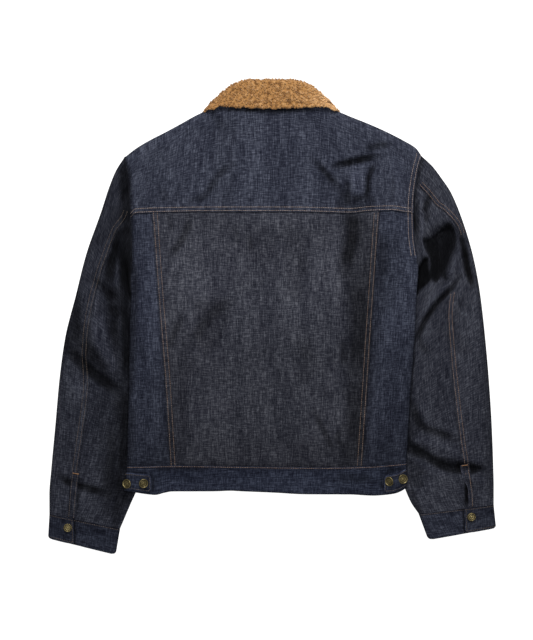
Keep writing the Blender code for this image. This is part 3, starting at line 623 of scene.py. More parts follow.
def lapped(distance, width=10.5, height=0.9):
    """The extra height of a lapped seam, by the distance in from its folded edge."""
    return height * bulge(distance + 0.25, 1.1) * smooth(width + 3.5, width - 1.0, distance)


def pulled_under(distance):
    """How far the cloth beneath a lapped edge is pressed down beside it."""
    return 0.9 * smooth(4.0, 0.0, distance)


def side_distance(x, y):
    from_left, from_right = x - BODY_EDGE("left", y), BODY_EDGE("right", y) - x
    return np.minimum(from_left, from_right), from_left < from_right


def top_distance(x, y):
    slope = (BACK_TOP("y", x + 4) - BACK_TOP("y", x - 4)) / 8
    return (BACK_TOP("y", x) - y) / np.hypot(1.0, slope)


def underarm_level(is_left):
    return np.where(is_left, UNDERARM_Y["left"], UNDERARM_Y["right"])


def seam_distances(x, y):
    """How far up from the yoke's seam, and how far in from the nearer back seam."""
    inside = np.minimum(x - BACK_SEAMS("left", y), BACK_SEAMS("right", y) - x)
    return y - YOKE_SEAM("y", x), inside


def bed(x, y):
    """How far the sleeves and the collar's ends below it raise the body."""
    _, is_left = side_distance(x, y)
    inside = np.where(is_left, x - SLEEVE_REACH("left", y), SLEEVE_REACH("right", y) - x)
    underarm = underarm_level(is_left)
    sleeve = SLEEVE_BED * smooth(*BED_RAMP, inside) * smooth(underarm + 58, underarm - 42, y)
    sleeve = sleeve * mix(0.92, 1.0, smooth(-305, -180, y))
    reach = np.hypot((x - CENTRE_X) / 200, (y - 320) / 175)
    return np.maximum(sleeve, COLLAR_BED * smooth(1.25, 0.85, reach))


def edge_rounding(x, y):
    """How near the body's two layers have come to its folded edge: 0 flat and 1 on the fold."""
    inwards, is_left = side_distance(x, y)
    armhole = bulge(y - underarm_level(is_left), 22.0)
    folded = 1.0 - bulge(inwards, 0.82 * BODY_THICK("side", y))
    seamed = ARMHOLE_DIP * smooth(8.0, 0.0, inwards)
    shoulder = smooth(98.0, 120.0, np.abs(x - CENTRE_X))
    over_top = (1.0 - bulge(top_distance(x, y), SHOULDER_ROUND)) * shoulder
    return np.maximum(mix(folded, seamed, armhole), over_top)


def thickness(x, y):
    inwards, _ = side_distance(x, y)
    return mix(BODY_THICK("side", y), BODY_THICK("middle", y), smooth(0.0, 70.0, inwards))


def solid_folds(x, y):
    """How far the largest folds, which the solids have too, sink the cloth."""
    depth = 0.0
    for (x1, y1), (x2, y2), width, deep in SOLID_FOLDS:
        length = math.hypot(x2 - x1, y2 - y1)
        along = ((x - x1) * (x2 - x1) + (y - y1) * (y2 - y1)) / length
        aside = ((x - x1) * (y2 - y1) - (y - y1) * (x2 - x1)) / length
        beyond = np.maximum(0.0, np.maximum(-along, along - length))
        depth = depth + deep * smooth(width, 0.0, np.hypot(aside, beyond))
    return depth


def plain_back(x, y):
    inwards, _ = side_distance(x, y)
    level = bed(x, y) + thickness(x, y) * (1.0 - 0.5 * edge_rounding(x, y))
    return level - solid_folds(x, y) * smooth(0.0, 60.0, inwards)


def plain_front(x, y):
    return bed(x, y) + 0.5 * thickness(x, y) * edge_rounding(x, y)


def middle_level(x, y):
    return bed(x, y) + 0.5 * thickness(x, y)


def lap_lift(side, x):
    """How far a front rises near its lapped edge, to clear the buttons and the front below it."""
    if side == "left":
        return (BUTTON_THICK + 0.3) * smooth(-LAP - 26, -LAP + 6, x)
    return (BUTTON_THICK + BODY_WALL + 0.6) * smooth(LAP + 50, LAP + 16, x)


def rolled_edge(x, y):
    """How far the armhole's edge rolls down: deep on the left, little on the right."""
    inwards, is_left = side_distance(x, y)
    left = 8.0 * (1.0 - bulge(inwards + 0.4, 10.0)) * smooth(60, 100, y)
    right = 1.6 * (1.0 - bulge(inwards + 0.2, 2.2)) * smooth(96, 120, y)
    return np.where(is_left, left, right)


def back_surface(x, y):
    """The back with its creases and lapped seams."""
    inwards, is_left = side_distance(x, y)
    sunk, _ = creases("back", x, y)
    calm = smooth(2.0, 34.0, inwards) * smooth(0.0, 20.0, top_distance(x, y))
    z = plain_back(x, y) - (sunk - uneven(x, y)) * calm
    above_yoke, inside = seam_distances(x, y)
    below = above_yoke < 0
    z = z + np.where(below, 0.0, lapped(above_yoke))
    z = z - np.where(below, pulled_under(-above_yoke), 0.0)
    z = z + np.where(below & (inside > 0), lapped(inside), 0.0)
    z = z - np.where(below & (inside < 0), pulled_under(-inside), 0.0)
    z = z - pulled_under(y - BAND_SEAM("y", x)) * smooth(-300, -262, y)
    armhole = np.where(is_left, 0.0, lapped(inwards) * smooth(92, 110, y))
    return z + armhole - rolled_edge(x, y)


def back_shade(x, y):
    """How much shade is painted into the back's colour: in the creases and hollows, beside the seams, along
    the left edge where it rolls down and above the waistband.
    """
    _, dark = creases("back", x, y)
    inwards, is_left = side_distance(x, y)
    above_yoke, inside = seam_distances(x, y)
    below = above_yoke < 0
    beside = np.where(below, smooth(-3.4, -0.2, above_yoke) * 0.46, 0.0)
    beside = np.maximum(beside, np.where(below & (inside < 0), smooth(-3.2, -0.2, inside) * 0.4, 0.0))
    rolled = np.where(is_left, smooth(7.0, 0.0, inwards) * 0.5 * smooth(60, 100, y), 0.0)
    band = smooth(3.4, 0.4, np.abs(y - BAND_SEAM("y", x))) * np.where(y > BAND_SEAM("y", x), 0.55, 0.0)
    most = np.maximum.reduce([dark, beside, rolled, band])
    return np.where(dark > 0, most, beside + rolled + band + dark)


def front_surface(x, y):
    sunk, _ = creases("front", x, y)
    inwards, _ = side_distance(x, y)
    calm = smooth(6.0, 40.0, inwards)
    return plain_front(x, y) + (0.25 * np.maximum(sunk, 0.0) + 0.2 * (uneven(x, y) + 2.2)) * calm


# ---- sleeves


def section_width(table, along):
    """How wide a sleeve or a cuff is."""
    return np.hypot(
        table("outer_x", along) - table("inner_x", along),
        table("outer_y", along) - table("inner_y", along),
    )


def section_loss(table, along, share):
    """How far a section has closed towards its rounded sides: 0 open and 1 on the fold."""
    width = section_width(table, along)
    outside = bulge(share * width, SLEEVE_ROUND["outer"] * table("thick", along))
    inside = bulge((1 - share) * width, SLEEVE_ROUND["inner"] * table("tucked", along))
    return 1.0 - np.minimum(outside, inside)


def section_height(table, along, share, up):
    crown = mix(table("thick", along), table("tucked", along), smooth(0.30, 0.80, share))
    loss = section_loss(table, along, share)
    return crown * np.where(up, 1.0 - 0.5 * loss, 0.5 * loss)


def sleeve_surface(side, along, share, up, crease=True):
    """Points of a sleeve, whose first section follows the armhole."""
    table, way = SLEEVE[side], WAY[side]
    along, share = np.broadcast_arrays(np.asarray(along, float), np.asarray(share, float))
    x = mix(table("outer_x", along), table("inner_x", along), share)
    y = mix(table("outer_y", along), table("inner_y", along), share)
    z = section_height(table, along, share, up)
    loss = section_loss(table, along, share)
    z = z - np.where(up, solid_folds(x, y) * smooth(0.0, 0.12, share) * smooth(1.0, 0.85, share), 0)
    held = smooth(0.12, 0.03, along)
    start_x = mix(table("outer_x", 0.0), table("inner_x", 0.0), share)
    hole_y = mix(table("outer_y", 0.0), table("inner_y", 0.0), share)
    edge_x = BODY_EDGE(side, hole_y)
    x = x + (edge_x - way * 0.3 - start_x) * held
    x = x + way * 5.0 * smooth(0.90, 1.0, share) * smooth(0.15, 0.08, along)
    at_hole = np.where(up, plain_back(edge_x, hole_y), plain_front(edge_x, hole_y))
    z = mix(z, at_hole, smooth(0.11, 0.018, along))
    if crease:
        sunk, _ = creases("sleeve_" + side, x, y)
        wave = 0.7 * uneven(x * 1.3, y * 0.9)
        free = (1.0 - loss) * smooth(1.0, 0.96, along)
        drop = np.where(up, sunk * smooth(1.0, 0.5, loss) - wave * free * smooth(0.0, 0.05, along), 0.0)
        floor = 0.5 * section_height(table, along, share, True) + 1.0
        z = np.where(up, np.maximum(z - drop, np.minimum(z, floor)), z)
    return np.stack([x, y, z], axis=-1)


def sleeve_facing(side, along, share, up):
    """The direction that a sleeve's rounded sections face in."""
    table = SLEEVE[side]
    level = 1.0 - section_loss(table, along, share)
    x = table("inner_x", along) - table("outer_x", along)
    y = table("inner_y", along) - table("outer_y", along)
    length = np.hypot(x, y)
    sideways = np.sqrt(1.0 - level**2) * np.where(share < 0.5, -1.0, 1.0) / length
    return np.stack([x * sideways, y * sideways, np.where(up, level, -level)], axis=-1)


def sleeve_shade(side, points, along):
    _, dark = creases("sleeve_" + side, points[..., 0], points[..., 1])
    # Painted shade on the first rows, where the sleeve goes in under the body's edge.
    hole = smooth(0.022, 0.004, along) * 0.6
    return np.where(hole > 0, np.maximum(dark, hole), dark)


# ---- meshes of cloth


def spread(first, last, steps):
    """Places between two ends, close together beside them, as shares of the whole and offsets."""
    inner = np.linspace(0.0, 1.0, max(2, steps) + 1)[1:-1]
    weights = np.concatenate([np.zeros(len(first)), inner, np.ones(len(last))])
    between = first[-1] * (1 - inner) - last[-1] * inner
    return weights, np.concatenate([first, between, -last[::-1]])


def rounding(radius):
    return radius * ROUNDED


def area_grid(left, right, low, high, columns, rows):
    """A grid of (x, y) between four edges, given as functions."""
    (weight_x, offset_x), (weight_y, offset_y) = columns, rows
    weight_x, offset_x = weight_x[None, :], offset_x[None, :]
    weight_y, offset_y = weight_y[:, None], offset_y[:, None]
    x = mix(left(0.0), right(0.0), weight_x) + offset_x + 0 * weight_y
    y = 0 * x
    for _ in range(7):
        y = mix(low(x), high(x), weight_y) + offset_y
        x = mix(left(y), right(y), weight_x) + offset_x
    return x, y


def normals_of(points):
    across = np.gradient(points, axis=1)
    up = np.gradient(points, axis=0)
    return unit(np.cross(across, up))


def grain_of(points, origin=(0.0, 0.0)):
    """Where each point lies on the flat cloth: across the grain and along it."""
    across = np.linalg.norm(np.diff(points, axis=1), axis=2)
    along = np.linalg.norm(np.diff(points, axis=0), axis=2)
    rows, columns = points.shape[:2]
    u = np.zeros((rows, columns))
    v = np.zeros((rows, columns))
    middle = columns // 2
    u[:, 1:] = np.cumsum(across, axis=1)
    u -= u[:, middle : middle + 1]
    v[1:] = np.cumsum(np.broadcast_to(along.mean(axis=1, keepdims=True), along.shape), axis=0)
    return (u + origin[0]) * MM, (v + origin[1]) * MM


def shift_to_frame():
    """Where the plan's zero point lies in the frame, from the third front button."""
    low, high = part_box("front_button_3")
    return np.array([(low.x + high.x) / 2, (low.y + high.y) / 2 + 65 * MM, low.z])


SHIFT = shift_to_frame()


def new_object(name, data):
    piece = bpy.data.objects.new(name, data)
    bpy.context.scene.collection.objects.link(piece)
    return piece


def plain_mesh(name, points, faces, uv, values, materials, slots):
    mesh = bpy.data.meshes.new(name)
    mesh.from_pydata((points * MM + SHIFT).tolist(), [], faces.tolist())
    layer = mesh.uv_layers.new(name="grain")
    index = np.zeros(len(mesh.loops), int)
    mesh.loops.foreach_get("vertex_index", index)
    layer.data.foreach_set("uv", uv[index].astype(np.float32).ravel())
    for key, value in values.items():
        attribute = mesh.attributes.new(key, "FLOAT", "POINT")
        attribute.data.foreach_set("value", value.astype(np.float32))
    for material in materials:
        mesh.materials.append(material)
    mesh.polygons.foreach_set("material_index", slots.astype(np.int32))
    mesh.shade_smooth()
    mesh.update()
    return new_object(name, mesh)


def cloth(name, points, wall, materials, shade=None, **options):
    """A panel of cloth with its outer face on the points, its inner face a wall's width below
    and a rounded rim. Seen from outside, rows run to the right and follow each other upwards.

    Options: flip for rows that run to the left, rim for how far the rim stands out, lift for the outer
    face's height over the points, facing for the points' normals, origin and crosswise for the grain, and
    lump for the light and shade painted on the pile."""
    flip, rim, lift = options.get("flip", False), options.get("rim", 0.25), options.get("lift", 0.0)
    points = points[:, ::-1] if flip else points
    shade = np.zeros(points.shape[:2]) if shade is None else shade
    shade = shade[:, ::-1] if flip else shade
    normals = options.get("facing")
    normals = normals_of(points) if normals is None else normals
    outer = points + normals * lift
    inner = points - normals * (wall - lift)
    u, v = grain_of(points, options.get("origin", (0, 0)))
    if options.get("crosswise"):
        u, v = v, u
    rows, columns = points.shape[:2]
    count = rows * columns
    ids = np.arange(count).reshape(rows, columns)
    loop = np.concatenate([ids[0, :], ids[1:, -1], ids[-1, -2::-1], ids[-2:0:-1, 0]])
    flat_outer, flat_inner = outer.reshape(-1, 3), inner.reshape(-1, 3)
    inside = points.copy()
    inside[0], inside[-1] = points[1], points[-2]
    inside[:, 0], inside[:, -1] = points[:, 1], points[:, -2]
    away = unit((points - inside).reshape(-1, 3)[loop])
    edge = (flat_outer[loop] + flat_inner[loop]) / 2 + away * rim * wall
    everything = np.concatenate([flat_outer, flat_inner, edge])
    quads = np.stack([ids[:-1, :-1], ids[:-1, 1:], ids[1:, 1:], ids[1:, :-1]], axis=-1).reshape(-1, 4)
    after = np.roll(loop, -1)
    ring = 2 * count + np.arange(len(loop))
    ring_after = np.roll(ring, -1)
    upper = np.stack([after, loop, ring, ring_after], axis=-1)
    lower = np.stack([ring_after, ring, loop + count, after + count], axis=-1)
    faces = np.concatenate([quads, quads[:, ::-1] + count, upper, lower])
    slots = np.zeros(len(faces), int)
    slots[len(quads) : 2 * len(quads)] = len(materials) - 1
    uv = np.stack([u.ravel(), v.ravel()], axis=-1)
    uv = np.concatenate([uv, uv, uv[loop]])

    def not_inside(grid):
        return np.concatenate([grid.ravel(), grid.ravel() * 0, grid.ravel()[loop]])

    outside = np.concatenate([np.ones(count), np.zeros(count), np.zeros(len(loop))])
    values = {"shade": not_inside(shade), "outside": outside}
    if "lump" in options:
        values["lump"] = not_inside(options["lump"])
    return plain_mesh(name, everything, faces, uv, values, materials, slots)


# ---- materials


class Nodes:
    """A node tree with short ways to add nodes and to join them."""

    def __init__(self, tree):
        self.tree = tree

    def add(self, kind, settings=None, **inputs):
        node = self.tree.nodes.new(kind)
        for key, value in (settings or {}).items():
            setattr(node, key, value)
        for key, value in inputs.items():
            self.feed(node.inputs[key.replace("_", " ")], value)
        return node

    def feed(self, socket, value):
        if isinstance(value, bpy.types.NodeSocket):
            self.tree.links.new(value, socket)
        else:
            socket.default_value = value

    def calc(self, operation, first, second, third=None):
        node = self.tree.nodes.new("ShaderNodeMath")
        node.operation = operation
        self.feed(node.inputs[0], first)
        self.feed(node.inputs[1], second)
        if third is not None:
            self.feed(node.inputs[2], third)
        return node.outputs[0]

    def noise(self, vector, scale, detail, roughness=0.55):
        node = self.add("ShaderNodeTexNoise", Vector=vector, Detail=detail, Roughness=roughness)
        node.inputs["Scale"].default_value = scale
        return node.outputs["Fac"]

    def stretched(self, vector, scale):
        node = self.add("ShaderNodeMapping", Vector=vector)
        node.inputs["Scale"].default_value = scale
        return node.outputs[0]

    def between(self, value, low, high, to_low=0.0, to_high=1.0):
        node = self.add("ShaderNodeMapRange", {"interpolation_type": "SMOOTHSTEP"})
        for key, item in (
            ("Value", value),
            ("From Min", low),
            ("From Max", high),
            ("To Min", to_low),
            ("To Max", to_high),
        ):
            self.feed(node.inputs[key], item)
        return node.outputs[0]

    def blend(self, share, first, second, kind="MIX"):
        node = self.add("ShaderNodeMix", {"data_type": "RGBA", "blend_type": kind})
        self.feed(node.inputs[0], share)
        self.feed(node.inputs[6], first)
        self.feed(node.inputs[7], second)
        return node.outputs[2]


def new_tree(name, kind_of_tree, inputs, outputs):
    """A group of nodes with named inputs and outputs."""
    tree = bpy.data.node_groups.new(name, kind_of_tree)
    for key, kind, value in inputs:
        socket = tree.interface.new_socket(name=key, in_out="INPUT", socket_type="NodeSocket" + kind)
        if value is not None:
            socket.default_value = value
    for key, kind in outputs:
        tree.interface.new_socket(name=key, in_out="OUTPUT", socket_type="NodeSocket" + kind)
    return tree, tree.nodes.new("NodeGroupInput"), tree.nodes.new("NodeGroupOutput")


DENIM_DARK = (0.0130, 0.0140, 0.0225, 1.0)
DENIM_MID = (0.0430, 0.0452, 0.0605, 1.0)
DENIM_LIGHT = (0.1300, 0.1345, 0.1600, 1.0)
DENIM_BLUER = (0.80, 0.91, 1.15, 1.0)  # times the colour, where a piece is bluer: a painted sheen
# Pile colours; the pale and dark ones also serve as painted light on the lumps' tops and painted shade
# between them.
PILE_LIGHT = (0.760, 0.460, 0.215, 1.0)
PILE_MID = (0.400, 0.200, 0.066, 1.0)
PILE_GAP = (0.240, 0.112, 0.036, 1.0)


def denim_weave():
    """Slubs along and across the grain, the twill's fine ribs, and painted shade: the colour is darkened by
    the Shade input for creases and hollows, and scaled by each piece's tone and painted light level.
    """
    tree, given, made = new_tree(
        "denim_weave",
        "ShaderNodeTree",
        (
            ("Place", "Vector", None),
            ("Shade", "Float", 0.0),
            ("Blue", "Float", 0.0),
            ("Tone_And_Light", "Float", 1.0),
        ),
        (("Color", "Color"), ("Height", "Float")),
    )
    nodes = Nodes(tree)
    place, shade, blue, tone = given.outputs[:4]
    drift = nodes.noise(place, 22.0, 2.0)
    bent = nodes.add("ShaderNodeVectorMath", {"operation": "MULTIPLY_ADD"})
    nodes.feed(bent.inputs[0], drift)
    nodes.feed(bent.inputs[1], (0.0035, 0.0025, 0.0))
    nodes.feed(bent.inputs[2], place)
    bent = bent.outputs[0]
    long_slubs = nodes.noise(nodes.stretched(bent, (560.0, 30.0, 1.0)), 1.0, 2.0, 0.6)
    short_slubs = nodes.noise(nodes.stretched(bent, (900.0, 120.0, 1.0)), 1.0, 2.0, 0.5)
    crossing = nodes.noise(nodes.stretched(bent, (70.0, 620.0, 1.0)), 1.0, 2.0, 0.55)
    speckle = nodes.noise(nodes.stretched(bent, (1200.0, 900.0, 1.0)), 1.0, 1.0, 0.5)
    patches = nodes.noise(nodes.stretched(place, (90.0, 24.0, 1.0)), 1.0, 3.0, 0.6)
    slack = nodes.noise(nodes.stretched(place, (26.0, 4.0, 1.0)), 1.0, 2.0, 0.5)
    streaks = nodes.calc(
        "ADD",
        nodes.calc("MULTIPLY", nodes.between(long_slubs, 0.36, 0.68), 0.36),
        nodes.calc(
            "ADD",
            nodes.calc("MULTIPLY", nodes.between(short_slubs, 0.36, 0.66), 0.30),
            nodes.calc("MULTIPLY", nodes.between(crossing, 0.36, 0.68), 0.40),
        ),
    )
    streaks = nodes.calc("ADD", streaks, nodes.between(speckle, 0.3, 0.7, -0.12, 0.12))
    level = nodes.calc("ADD", streaks, nodes.between(patches, 0.3, 0.7, -0.07, 0.07))
    level = nodes.calc("ADD", level, nodes.between(slack, 0.3, 0.7, -0.09, 0.09))
    low = nodes.blend(nodes.between(level, 0.05, 0.52), DENIM_DARK, DENIM_MID)
    colour = nodes.blend(nodes.between(level, 0.48, 0.98), low, DENIM_LIGHT)
    bluer = nodes.blend(1.0, colour, DENIM_BLUER, "MULTIPLY")
    colour = nodes.blend(blue, colour, bluer)
    # Painted shade and light: the colour is darkened by the shade and scaled by the piece's tone and light
    # level.
    lit = nodes.calc("MULTIPLY_ADD", shade, -0.95, 1.0)
    tone = nodes.calc("MULTIPLY", tone, lit)
    toned = nodes.add("ShaderNodeVectorMath", {"operation": "SCALE"})
    nodes.feed(toned.inputs[0], colour)
    nodes.feed(toned.inputs["Scale"], tone)
    nodes.feed(made.inputs[0], toned.outputs[0])
    ribs = nodes.add("ShaderNodeTexWave", {"bands_direction": "DIAGONAL"}, Vector=place, Scale=420.0)
    grit = nodes.noise(nodes.stretched(bent, (900.0, 700.0, 1.0)), 1.0, 2.0)
    height = nodes.calc(
        "ADD",
        nodes.calc("MULTIPLY", ribs.outputs["Fac"], 0.25),
        nodes.calc("ADD", nodes.calc("MULTIPLY", streaks, 0.6), nodes.calc("MULTIPLY", grit, 0.35)),
    )
    nodes.feed(made.inputs[1], height)
    return tree


WEAVE = denim_weave()


def new_material(name, roughness, metallic=0.0, sheen=0.0):
    material = bpy.data.materials.new(name)
    material.use_nodes = True
    shader = material.node_tree.nodes["Principled BSDF"]
    shader.inputs["Roughness"].default_value = roughness
    shader.inputs["Metallic"].default_value = metallic
    shader.inputs["Sheen Weight"].default_value = sheen
    shader.inputs["Specular IOR Level"].default_value = 0.08 if metallic == 0.0 else 0.5
    return material, Nodes(material.node_tree), shader


def denim(name, blue, tone):
    """Denim of a given blueness, painted as dark as its place in the light makes it, and darker still by the
    shade painted in through its shade attribute.
    """
    material, nodes, shader = new_material(name, 0.95)
    place = nodes.add("ShaderNodeUVMap", {"uv_map": "grain"}).outputs[0]
    shade = nodes.add("ShaderNodeAttribute", {"attribute_name": "shade"}).outputs["Fac"]
    weave = nodes.add("ShaderNodeGroup", {"node_tree": WEAVE})
    nodes.feed(weave.inputs["Place"], place)
    nodes.feed(weave.inputs["Shade"], shade)
    nodes.feed(weave.inputs["Blue"], blue)
    nodes.feed(weave.inputs["Tone_And_Light"], tone)
    bump = nodes.add("ShaderNodeBump", Height=weave.outputs["Height"], Strength=0.55, Distance=0.0007)
    nodes.feed(shader.inputs["Base Color"], weave.outputs["Color"])
    nodes.feed(shader.inputs["Normal"], bump.outputs[0])
    return material


def pile(name, *tones):
    """Sherpa, paler and darker from place to place at random, and paler on its lumps' tops and darker
    between them where an attribute of painted light and shade says so. Each tone is an attribute's name, and
    how much it changes the shade."""
    material, nodes, shader = new_material(name, 0.95, sheen=0.25)
    place = nodes.add("ShaderNodeTexCoord").outputs["Object"]
    clumps = nodes.noise(place, 150.0, 3.0, 0.6)
    fine = nodes.noise(place, 620.0, 3.0, 0.6)
    share = nodes.calc("ADD", nodes.calc("MULTIPLY", clumps, 0.6), nodes.calc("MULTIPLY", fine, 0.4))
    for attribute, weight in tones:
        tone = nodes.add("ShaderNodeAttribute", {"attribute_name": attribute}).outputs["Fac"]
        share = nodes.calc("ADD", share, nodes.calc("MULTIPLY", nodes.calc("SUBTRACT", tone, 0.5), weight))
    low = nodes.blend(nodes.between(share, 0.22, 0.50), PILE_GAP, PILE_MID)
    colour = nodes.blend(nodes.between(share, 0.46, 1.0), low, PILE_LIGHT)
    bump = nodes.add("ShaderNodeBump", Height=share, Strength=0.6, Distance=0.0012)
    nodes.feed(shader.inputs["Base Color"], colour)
    nodes.feed(shader.inputs["Normal"], bump.outputs[0])
    return material


def plain(name, colour, roughness, metallic=0.0, *, vary, scale):
    """A finish of one colour, a little darker and paler from place to place."""
    material, nodes, shader = new_material(name, roughness, metallic)
    place = nodes.add("ShaderNodeTexCoord").outputs["Object"]
    darker = tuple(c * (1.0 - vary) for c in colour[:3]) + (1.0,)
    lighter = tuple(c * (1.0 + vary) for c in colour[:3]) + (1.0,)
    share = nodes.between(nodes.noise(place, scale, 2.0), 0.3, 0.7)
    nodes.feed(shader.inputs["Base Color"], nodes.blend(share, darker, lighter))
    return material


# Copies of one denim, each painted lighter or darker for its place in the light: the side panels, band,
# cuffs and sleeves in more shade, and the left sleeve and cuff more than the right; the crosswise band and
# cuffs are also darker for real. Their blueness is a painted sheen.
DENIM = denim("denim_yoke", 0.50, 0.86)
DENIM_CENTRE = denim("denim_centre", 0.0, 0.92)
DENIM_SIDE = denim("denim_sides", 0.65, 0.76)
DENIM_BAND = denim("denim_band", 1.0, 0.56)
CUFF_DENIM = {
    "left": denim("denim_cuff_left", 0.8, 0.44),
    "right": denim("denim_cuff_right", 0.6, 0.62),
}
SLEEVE_DENIM = {
    "left": denim("denim_sleeve_left", 0.25, 0.56),
    "right": denim("denim_sleeve_right", 0.15, 0.70),
}
PILE = pile("sherpa_pile", ("lump", 0.6))
TUFTS = pile("sherpa_tufts", ("tone", 0.09), ("lump", 0.8))
LINING = pile("pile_lining")
SLEEVE_LINING = plain("sleeve_lining", (0.16, 0.10, 0.055, 1.0), 0.7, vary=0.2, scale=60.0)
# The pale and dim threads are the tan thread painted lighter, where the light falls on the yoke, and darker,
# in the shade on the tabs, cuffs and left sleeve.
THREAD = plain("tan_thread", (0.270, 0.185, 0.140, 1.0), 0.8, vary=0.4, scale=260.0)
LIT_THREAD = plain("lit_thread", (0.430, 0.335, 0.285, 1.0), 0.8, vary=0.35, scale=260.0)
BAR_THREAD = plain("rust_thread", (0.34, 0.18, 0.085, 1.0), 0.8, vary=0.45, scale=500.0)
SHADED_THREAD = plain("shaded_thread", (0.135, 0.105, 0.085, 1.0), 0.8, vary=0.4, scale=260.0)
BRASS = plain("antique_brass", (0.175, 0.142, 0.064, 1.0), 0.42, 0.85, vary=0.35, scale=500.0)
BRASS_DARK = plain("brass_groove", (0.030, 0.024, 0.012, 1.0), 0.6, 0.7, vary=0.2, scale=500.0)


# ---- the body's pieces


def keep(piece, node):
    """The piece stands for its CAD node and rides on the frame."""
    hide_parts(node)
    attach(piece, "root")


def steps_for(length, grid=GRID):
    return max(2, round(length / grid))


def panel_foot(x):
    return BAND_SEAM("y", x) + 0.1


def at_back(x, y):
    """Points of the back, kept just above the middle where it meets the front."""
    z = np.maximum(back_surface(x, y), middle_level(x, y) + LAYER_GAP)
    return np.stack([x, y, z], axis=-1)


def build_back():
    left_edge, right_edge = partial(BODY_EDGE, "left"), partial(BODY_EDGE, "right")
    left_seam, right_seam = partial(BACK_SEAMS, "left"), partial(BACK_SEAMS, "right")
    side = rounding(SIDE_ROUND)

    def below_yoke(x):
        return YOKE_SEAM("y", x) - 0.1

    def beside_left(y):
        return left_seam(y) - 0.1

    def beside_right(y):
        return right_seam(y) + 0.1

    columns = spread(ARMHOLE_STEPS, ARMHOLE_STEPS, steps_for(480))
    rows = spread(SEAM_STEPS, rounding(SHOULDER_ROUND * 1.12), steps_for(160))
    x, y = area_grid(left_edge, right_edge, partial(YOKE_SEAM, "y"), partial(BACK_TOP, "y"), columns, rows)
    keep(cloth("yoke", at_back(x, y), BODY_WALL, (DENIM, LINING), back_shade(x, y)), "back_yoke")
    rows = spread(END_STEPS, END_STEPS, steps_for(430))
    columns = spread(SEAM_STEPS, SEAM_STEPS, steps_for(340))
    left_grid = spread(side, END_STEPS, steps_for(44))
    right_grid = spread(END_STEPS, side, steps_for(58))
    panels = (
        ("centre_panel", "back_centre", left_seam, right_seam, columns, DENIM_CENTRE, (40, 90)),
        ("side_panel_left", "back_side_left", left_edge, beside_left, left_grid, DENIM_SIDE, (300, 30)),
        ("side_panel_right", "back_side_right", beside_right, right_edge, right_grid, DENIM_SIDE, (500, 60)),
    )
    for name, node, left, right, columns, outside, origin in panels:
        x, y = area_grid(left, right, panel_foot, below_yoke, columns, rows)
        piece = cloth(name, at_back(x, y), BODY_WALL, (outside, LINING), back_shade(x, y), origin=origin)
        keep(piece, node)


def at_front(side, x, y):
    z = np.minimum(front_surface(x, y), middle_level(x, y) - LAYER_GAP)
    return np.stack([x, y, z + lap_lift(side, x)], axis=-1)


def front_top(x):
    """The neck's edge between its ends, and the shoulders' beside it."""
    neck = FRONT_NECK.rows
    return np.where((x > neck[0, 0]) & (x < neck[-1, 0]), FRONT_NECK("y", x), BACK_TOP("y", x))


def lap_edge(way, y):
    """A front's own edge, past the middle."""
    return LAP * way + 0 * y


def build_fronts():
    for side in SIDES:
        way = WAY[side]
        weight, offset = spread(rounding(SIDE_ROUND), END_STEPS, steps_for(240, HIDDEN_GRID))
        columns = (weight, offset * way)
        rows = spread(END_STEPS, rounding(SHOULDER_ROUND * 1.12), steps_for(560, HIDDEN_GRID))
        edges = (partial(BODY_EDGE, side), partial(lap_edge, way), panel_foot, front_top)
        x, y = area_grid(*edges, columns, rows)
        _, shade = creases("front", x, y)
        points = at_front(side, x, y)
        piece = cloth("front_panel_" + side, points, BODY_WALL, (DENIM, LINING), shade, flip=side == "left")
        keep(piece, "front_" + side)


def band_ripple(x):
    return 0.35 * np.sin(x * 0.21) + 0.25 * np.sin(x * 0.083 + 1.0)


def at_band(x, y):
    """The waistband's back, which laps a little over the panels."""
    below = BAND_SEAM("y", x) - y
    z = plain_back(x, y) + 0.7 * lapped(below, 60.0, 1.0) + 0.7 * np.exp(-(((below - 2.6) / 1.7) ** 2))
    z = z + band_ripple(x) * smooth(0.0, 12.0, side_distance(x, y)[0])
    z = np.maximum(z, middle_level(x, y) + LAYER_GAP)
    return np.stack([x, y, z], axis=-1)


def build_waistband():
    edges = {side: partial(BODY_EDGE, side) for side in SIDES}
    hem = partial(HEM, "y")

    def top(x):
        return BAND_SEAM("y", x) + 0.25

    side = rounding(SIDE_ROUND)
    rows = spread(END_STEPS, END_STEPS, steps_for(38))
    x, y = area_grid(edges["left"], edges["right"], hem, top, spread(side, side, steps_for(470)), rows)
    _, shade = creases("band", x, y)
    # Painted shade along the band's lower edge.
    shade = np.maximum(shade, 0.35 * smooth(2.5, 0.0, y - HEM("y", x)))
    band = {"rim": 0.4, "crosswise": True}
    denims = (DENIM_BAND, DENIM)
    piece = cloth("waistband", at_band(x, y), BAND_WALL, denims, shade, origin=(0, 700), **band)
    keep(piece, "waistband_back")
    for side_name in SIDES:
        way = WAY[side_name]
        weight, offset = spread(side, END_STEPS, steps_for(240, HIDDEN_GRID))
        columns = (weight, offset * way)
        x, y = area_grid(edges[side_name], partial(lap_edge, way), hem, top, columns, rows)
        z = np.minimum(plain_front(x, y), middle_level(x, y) - LAYER_GAP) + lap_lift(side_name, x)
        points = np.stack([x, y, z], axis=-1)
        node = "waistband_front_" + side_name
        piece = cloth(node + "_cloth", points, BAND_WALL, denims, flip=side_name == "left", **band)
        keep(piece, node)


